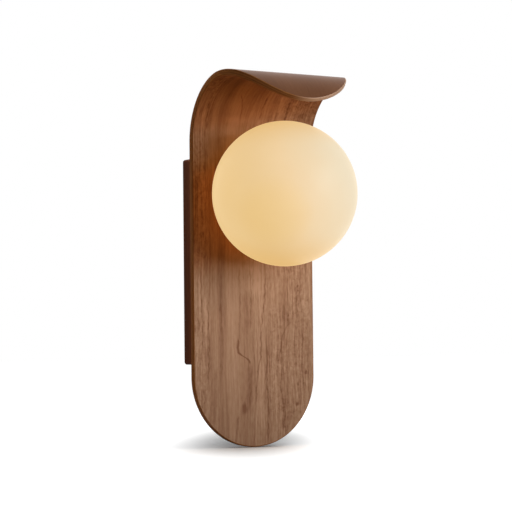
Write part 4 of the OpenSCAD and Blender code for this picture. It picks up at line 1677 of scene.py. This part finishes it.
HUB_COAT = replace(COLLAR_COAT, name="white_coat_hub", thread=replace(COLLAR_THREAD, radius=38.05 * MM))
SILICONE = Matt("clear_silicone", ((0.64, 0.63, 0.6), (0.73, 0.72, 0.69)), rough=(0.45, 0.6))
STEATITE = Matt(
    "fired_steatite", ((0.76, 0.74, 0.67), (0.86, 0.84, 0.78)), rough=(0.62, 0.8),
    cloud=Layer(900.0, detail=4.0, rough=0.65), grain=Layer(1500.0), relief=Relief(0.06 * MM, 0.35),
)
PLASTIC = Matt(
    "white_moulding", ((0.81, 0.81, 0.78), (0.87, 0.87, 0.84)), rough=(0.4, 0.52),
    cloud=Layer(120.0, detail=4.0, rough=0.65),
)
FROSTED = Matt(
    "frosted_cover", ((0.86, 0.81, 0.68), (0.92, 0.87, 0.74)), rough=(0.5, 0.65),
    cloud=Layer(120.0, detail=3.0), grain=Layer(3000.0, detail=1.0), relief=Relief(0.03 * MM, 0.3),
    specular=0.5, glow=((0.86, 0.6, 0.3), (0.92, 0.68, 0.38)),
)
PHOSPHOR = replace(
    FROSTED, name="led_phosphor", shades=((0.8, 0.6, 0.13), (0.88, 0.7, 0.2)),
    cloud=Layer(900.0, detail=3.0), glow=((0.9, 0.62, 0.22), (0.95, 0.7, 0.3)),
)


@dataclass
class Fittings:
    """A group of CAD nodes that keep their shapes and get their finishes."""

    title: str
    finishes: dict[str, Finish]

    def dress(self, nodes: dict[str, bpy.types.Object], shop: PaintShop) -> None:
        """Put the finishes on the nodes.

        Args:
            nodes: CAD nodes by name.
            shop: Gives the finishes.
        """
        for name, finish in self.finishes.items():
            mesh = nodes[name].data
            mesh.materials.clear()
            shop.paint(mesh, finish)
            LOG.info("%s: %s dressed", self.title, name)


FITTINGS = (
    Fittings("wall fixings", {
        "wall_bracket": ZINC,
        "box_lock_screws": BRIGHT,
        "panel_screws": BRIGHT,
        "bracket_earth_screw": BRASS,
        "bracket_earth_washer": BRASS,
        "earth_lug": ZINC,
    }),
    Fittings("globe mount", {
        "globe_collar": COLLAR_COAT,
        "globe_gasket": SILICONE,
        "globe_hub": HUB_COAT,
        "hub_screws": BRIGHT,
    }),
    Fittings("stem", {
        "threaded_tube": BRASS_THREAD,
        "tube_nuts": BRASS,
        "tube_washers": ZINC,
        "tube_bushes": PLASTIC,
    }),
    Fittings("lampholder", {
        "lampholder_stirrup": ZINC,
        "lampholder_body": STEATITE,
        "lampholder_contacts": BRASS,
        "lampholder_screws": BRIGHT,
    }),
    Fittings("bulb", {
        "bulb_base": PLASTIC,
        "bulb_pins": BRIGHT,
        "bulb_envelope": FROSTED,
        "bulb_led_core": PHOSPHOR,
    }),
    Fittings("terminal", {
        "terminal_block": PLASTIC,
        "terminal_inserts": BRASS,
        "terminal_screws": BRIGHT,
        "terminal_fixing_screw": BRIGHT,
    }),
)


def outward(azimuth: float, height: float) -> Vector:
    """Give a direction from the part, by degrees round it from the front and degrees up."""
    a, e = math.radians(azimuth), math.radians(height)
    return Vector((math.sin(a) * math.cos(e), -math.cos(a) * math.cos(e), math.sin(e)))


@dataclass
class PhotoCamera:
    """Camera at the photograph's place: angles in degrees, lengths in mm, focal length in pixels."""

    yaw: float = PHOTO_YAW
    pitch: float = -2.66
    roll: float = -0.57
    focal: float = 1941.0
    frame_px: float = 512.0
    sensor: float = 36.0
    target: Point = (-13.12, -60.0, 4.55)
    distance: float = 2022.0

    def build(self) -> None:
        """Make the camera and let the scene use it."""
        back = outward(self.yaw, self.pitch)
        yaw, roll = math.radians(self.yaw), math.radians(self.roll)
        level = Vector((math.cos(yaw), math.sin(yaw), 0.0))
        upright = back.cross(level)
        right = math.cos(roll) * level + math.sin(roll) * upright
        up = math.cos(roll) * upright - math.sin(roll) * level
        data = bpy.data.cameras.new("photo_camera")
        data.sensor_width = self.sensor
        data.lens = self.focal / self.frame_px * self.sensor
        camera = new_object("photo_camera", data)
        turn = Matrix((right, up, back)).transposed().to_4x4()
        camera.matrix_world = Matrix.Translation((Vector(self.target) + self.distance * back) * MM) @ turn
        bpy.context.scene.camera = camera
        LOG.info("camera placed")


@dataclass(frozen=True)
class SoftBox:
    """Square studio lamp: angles in degrees, lengths in metres."""

    name: str
    azimuth: float
    height: float
    distance: float
    size: float
    power: float
    tint: Tint
    aim: Point
    spread: float

    def build(self) -> bpy.types.Object:
        """Make the lamp.

        Returns:
            The lamp's object.
        """
        toward = outward(self.azimuth, self.height)
        data = bpy.data.lights.new(self.name, "AREA")
        data.shape = "SQUARE"
        data.size = self.size
        data.energy = self.power
        data.color = self.tint
        data.spread = math.radians(self.spread)
        lamp = new_object(self.name, data)
        lamp.location = Vector(self.aim) + toward * self.distance
        lamp.rotation_euler = toward.to_track_quat("Z", "Y").to_euler()
        lamp.visible_camera = False
        LOG.info("lamp %s placed", self.name)
        return lamp


@dataclass(frozen=True)
class GlowLamp:
    """Warm round lamp in the globe's place that lights the panel alone: lengths in metres."""

    name: str = "globe_glow"
    centre: Point = (0.0, -0.0965, 0.0675)
    radius: float = 0.07
    power: float = 0.125
    tint: Tint = (1.0, 0.17, 0.004)

    def build(self) -> bpy.types.Object:
        """Make the lamp.

        Returns:
            The lamp's object.
        """
        data = bpy.data.lights.new(self.name, "POINT")
        data.shadow_soft_size = self.radius
        data.energy = self.power
        data.color = self.tint
        lamp = new_object(self.name, data)
        lamp.location = self.centre
        LOG.info("lamp %s placed", self.name)
        return lamp


@dataclass
class Studio:
    """White floor, white surroundings and soft lamps: lengths in metres, angles in degrees."""

    floor_z: float = -0.1952
    floor_half: float = 12.0
    floor_albedo: float = 0.8
    shade_centre: Span = (0.069, 0.091)
    shade_turn: float = PHOTO_YAW
    shade_half: Span = (0.08, 0.38)
    glow_rise: Span = (0.2, 1.4)
    near_reach: float = 0.08
    near_samples: int = 16
    near_shade: Span = (0.2, 0.7)
    ambient: float = 0.045
    key: SoftBox = SoftBox(
        "key_softbox", azimuth=25.0, height=12.0, distance=1.6, size=0.3, power=0.067,
        tint=(1.0, 1.05, 1.14), aim=(0.0, -0.04, -0.02), spread=25.0,
    )
    key_fan: Point = (-13.0, 0.0, 13.0)
    crown: SoftBox = SoftBox(
        "crown_softbox", azimuth=180.0, height=62.0, distance=1.5, size=0.5, power=1.0,
        tint=(1.0, 1.1, 1.17), aim=(0.0, -0.1, 0.18), spread=40.0,
    )
    side: SoftBox = SoftBox(
        "side_softbox", azimuth=-112.0, height=10.0, distance=1.5, size=0.6, power=0.7,
        tint=(1.0, 0.8, 0.52), aim=(-0.07, -0.03, 0.0), spread=60.0,
    )
    glow: GlowLamp = GlowLamp()
    floor_lamp: SoftBox = SoftBox(
        "floor_softbox", azimuth=0.0, height=90.0, distance=1.5, size=0.45, power=1.0,
        tint=WHITE, aim=(0.0, -0.03, -0.195), spread=180.0,
    )
    # Azimuth, height and power of each lamp for the floor.
    floor_ring: tuple[Point, ...] = (
        (28.4, 40.0, 1.4), (88.4, 40.0, 2.7), (118.4, 40.0, 4.2), (13.4, 60.0, 3.1), (58.4, 60.0, 2.0),
    )

    def build_world(self) -> None:
        """Surround the scene with white that lights the part only a little."""
        g = Graph(bpy.data.worlds.new("white_surround"))
        seen = g.fill(g.add("ShaderNodeBackground"), Color=WHITE, Strength=1.0)
        felt = g.fill(g.add("ShaderNodeBackground"), Color=WHITE, Strength=self.ambient)
        either = g.add("ShaderNodeMixShader")
        for target, value in zip(either.inputs, (g.seen_white(), felt.outputs[0], seen.outputs[0])):
            g.feed(target, value)
        g.fill(g.add("ShaderNodeOutputWorld"), Surface=either.outputs[0])
        bpy.context.scene.world = g.owner

    def floor_paint(self) -> bpy.types.Material:
        """Make the floor's white: painted shade close to the part, where the part hems it in, and bright to
        the eye beyond a soft oval.

        Returns:
            The material.
        """
        g = Surface("white_floor")
        cos, sin = math.cos(math.radians(self.shade_turn)), math.sin(math.radians(self.shade_turn))
        x, y = self.shade_centre
        wide, deep = self.shade_half
        spot = g.stretch(g.place(), (1, 1, 1), (-x, -y, 0))
        reach = g.hypot(g.dot(spot, (cos / wide, sin / wide, 0)), g.dot(spot, (sin / deep, -cos / deep, 0)))
        # Painted shade: the floor darkens where the part hems it in, on top of the lamps' real shadows.
        near = g.add("ShaderNodeAmbientOcclusion", samples=self.near_samples)
        g.fill(near, Distance=self.near_reach)
        open_share = g.share(near.outputs["AO"], *self.near_shade)
        bright = g.times(g.times(g.step(reach, *self.glow_rise), open_share), g.seen_white())
        g.dress(Emission_Color=WHITE, Emission_Strength=bright)
        pale = g.mix(open_share, BLACK, (self.floor_albedo,) * 3)
        return g.dress(Base_Color=pale, Roughness=1.0, Specular_IOR_Level=0.0)

    def build_floor(self) -> bpy.types.Object:
        """Lay the white floor, which keeps the part's shadow.

        Returns:
            The floor.
        """
        shape = Shape()
        h, z = self.floor_half, self.floor_z
        ends = [Vector((sx * h, sy * h, z)) for sx, sy in ((-1, -1), (1, -1), (1, 1), (-1, 1))]
        shape.bm.faces.new([shape.bm.verts.new(end) for end in ends])
        mesh = shape.mesh("white_floor")
        mesh.materials.append(self.floor_paint())
        floor = new_object("white_floor", mesh)
        floor.visible_diffuse = False
        return floor

    def lit_things(self, name: str, thing: bpy.types.Object, lit: Lit) -> bpy.types.Collection:
        """List what a lamp lights.

        Args:
            name: Name of the list.
            thing: The only thing on it.
            lit: Whether that thing is lit, or all others.

        Returns:
            The list.
        """
        listed = bpy.data.collections.new(name)
        listed.objects.link(thing)
        listed.collection_objects[0].light_linking.link_state = lit.value
        return listed

    def part_lamps(self) -> list[SoftBox]:
        """Give the lamps that light the part: the key as a fan of small ones, the crown's and the side's.

        Returns:
            The lamps.
        """
        fan = [
            replace(
                self.key,
                name=f"{self.key.name}_{row}{column}",
                azimuth=self.key.azimuth + turn,
                height=self.key.height + lift,
            )
            for row, lift in enumerate(self.key_fan)
            for column, turn in enumerate(self.key_fan)
        ]
        return [*fan, self.crown, self.side]

    def floor_lamps(self) -> list[SoftBox]:
        """Give the lamps whose shadows fall on the floor.

        Returns:
            The lamps.
        """
        name = self.floor_lamp.name
        return [
            replace(self.floor_lamp, name=f"{name}_{number}", azimuth=azimuth, height=height, power=power)
            for number, (azimuth, height, power) in enumerate(self.floor_ring)
        ]

    def build(self, panel: bpy.types.Object) -> None:
        """Set the studio up.

        Args:
            panel: The panel that the globe's glow falls on.
        """
        bpy.context.scene.view_settings.view_transform = "Standard"
        self.build_world()
        floor = self.build_floor()
        all_but_floor = self.lit_things("all_but_floor", floor, Lit.OTHERS)
        for lamp in self.part_lamps():
            lamp.build().light_linking.receiver_collection = all_but_floor
        floor_only = self.lit_things("floor_only", floor, Lit.LISTED)
        for lamp in self.floor_lamps():
            lamp.build().light_linking.receiver_collection = floor_only
        links = self.glow.build().light_linking
        links.receiver_collection = self.lit_things("panel_only", panel, Lit.LISTED)
        links.blocker_collection = links.receiver_collection
        LOG.info("studio set up")


def main() -> None:
    """Load the frame, build and dress every piece, and light it."""
    logging.basicConfig(level=logging.INFO, format="%(name)s: %(message)s")
    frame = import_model()
    shop = PaintShop()
    PhotoCamera().build()
    panel = BentPanel().build(shop)
    WallBox().build(shop)
    OpalGlobe().build(shop)
    Wiring().build(shop)
    for group in FITTINGS:
        group.dress(frame["nodes"], shop)
    Studio().build(panel)


if __name__ == "__main__":
    main()
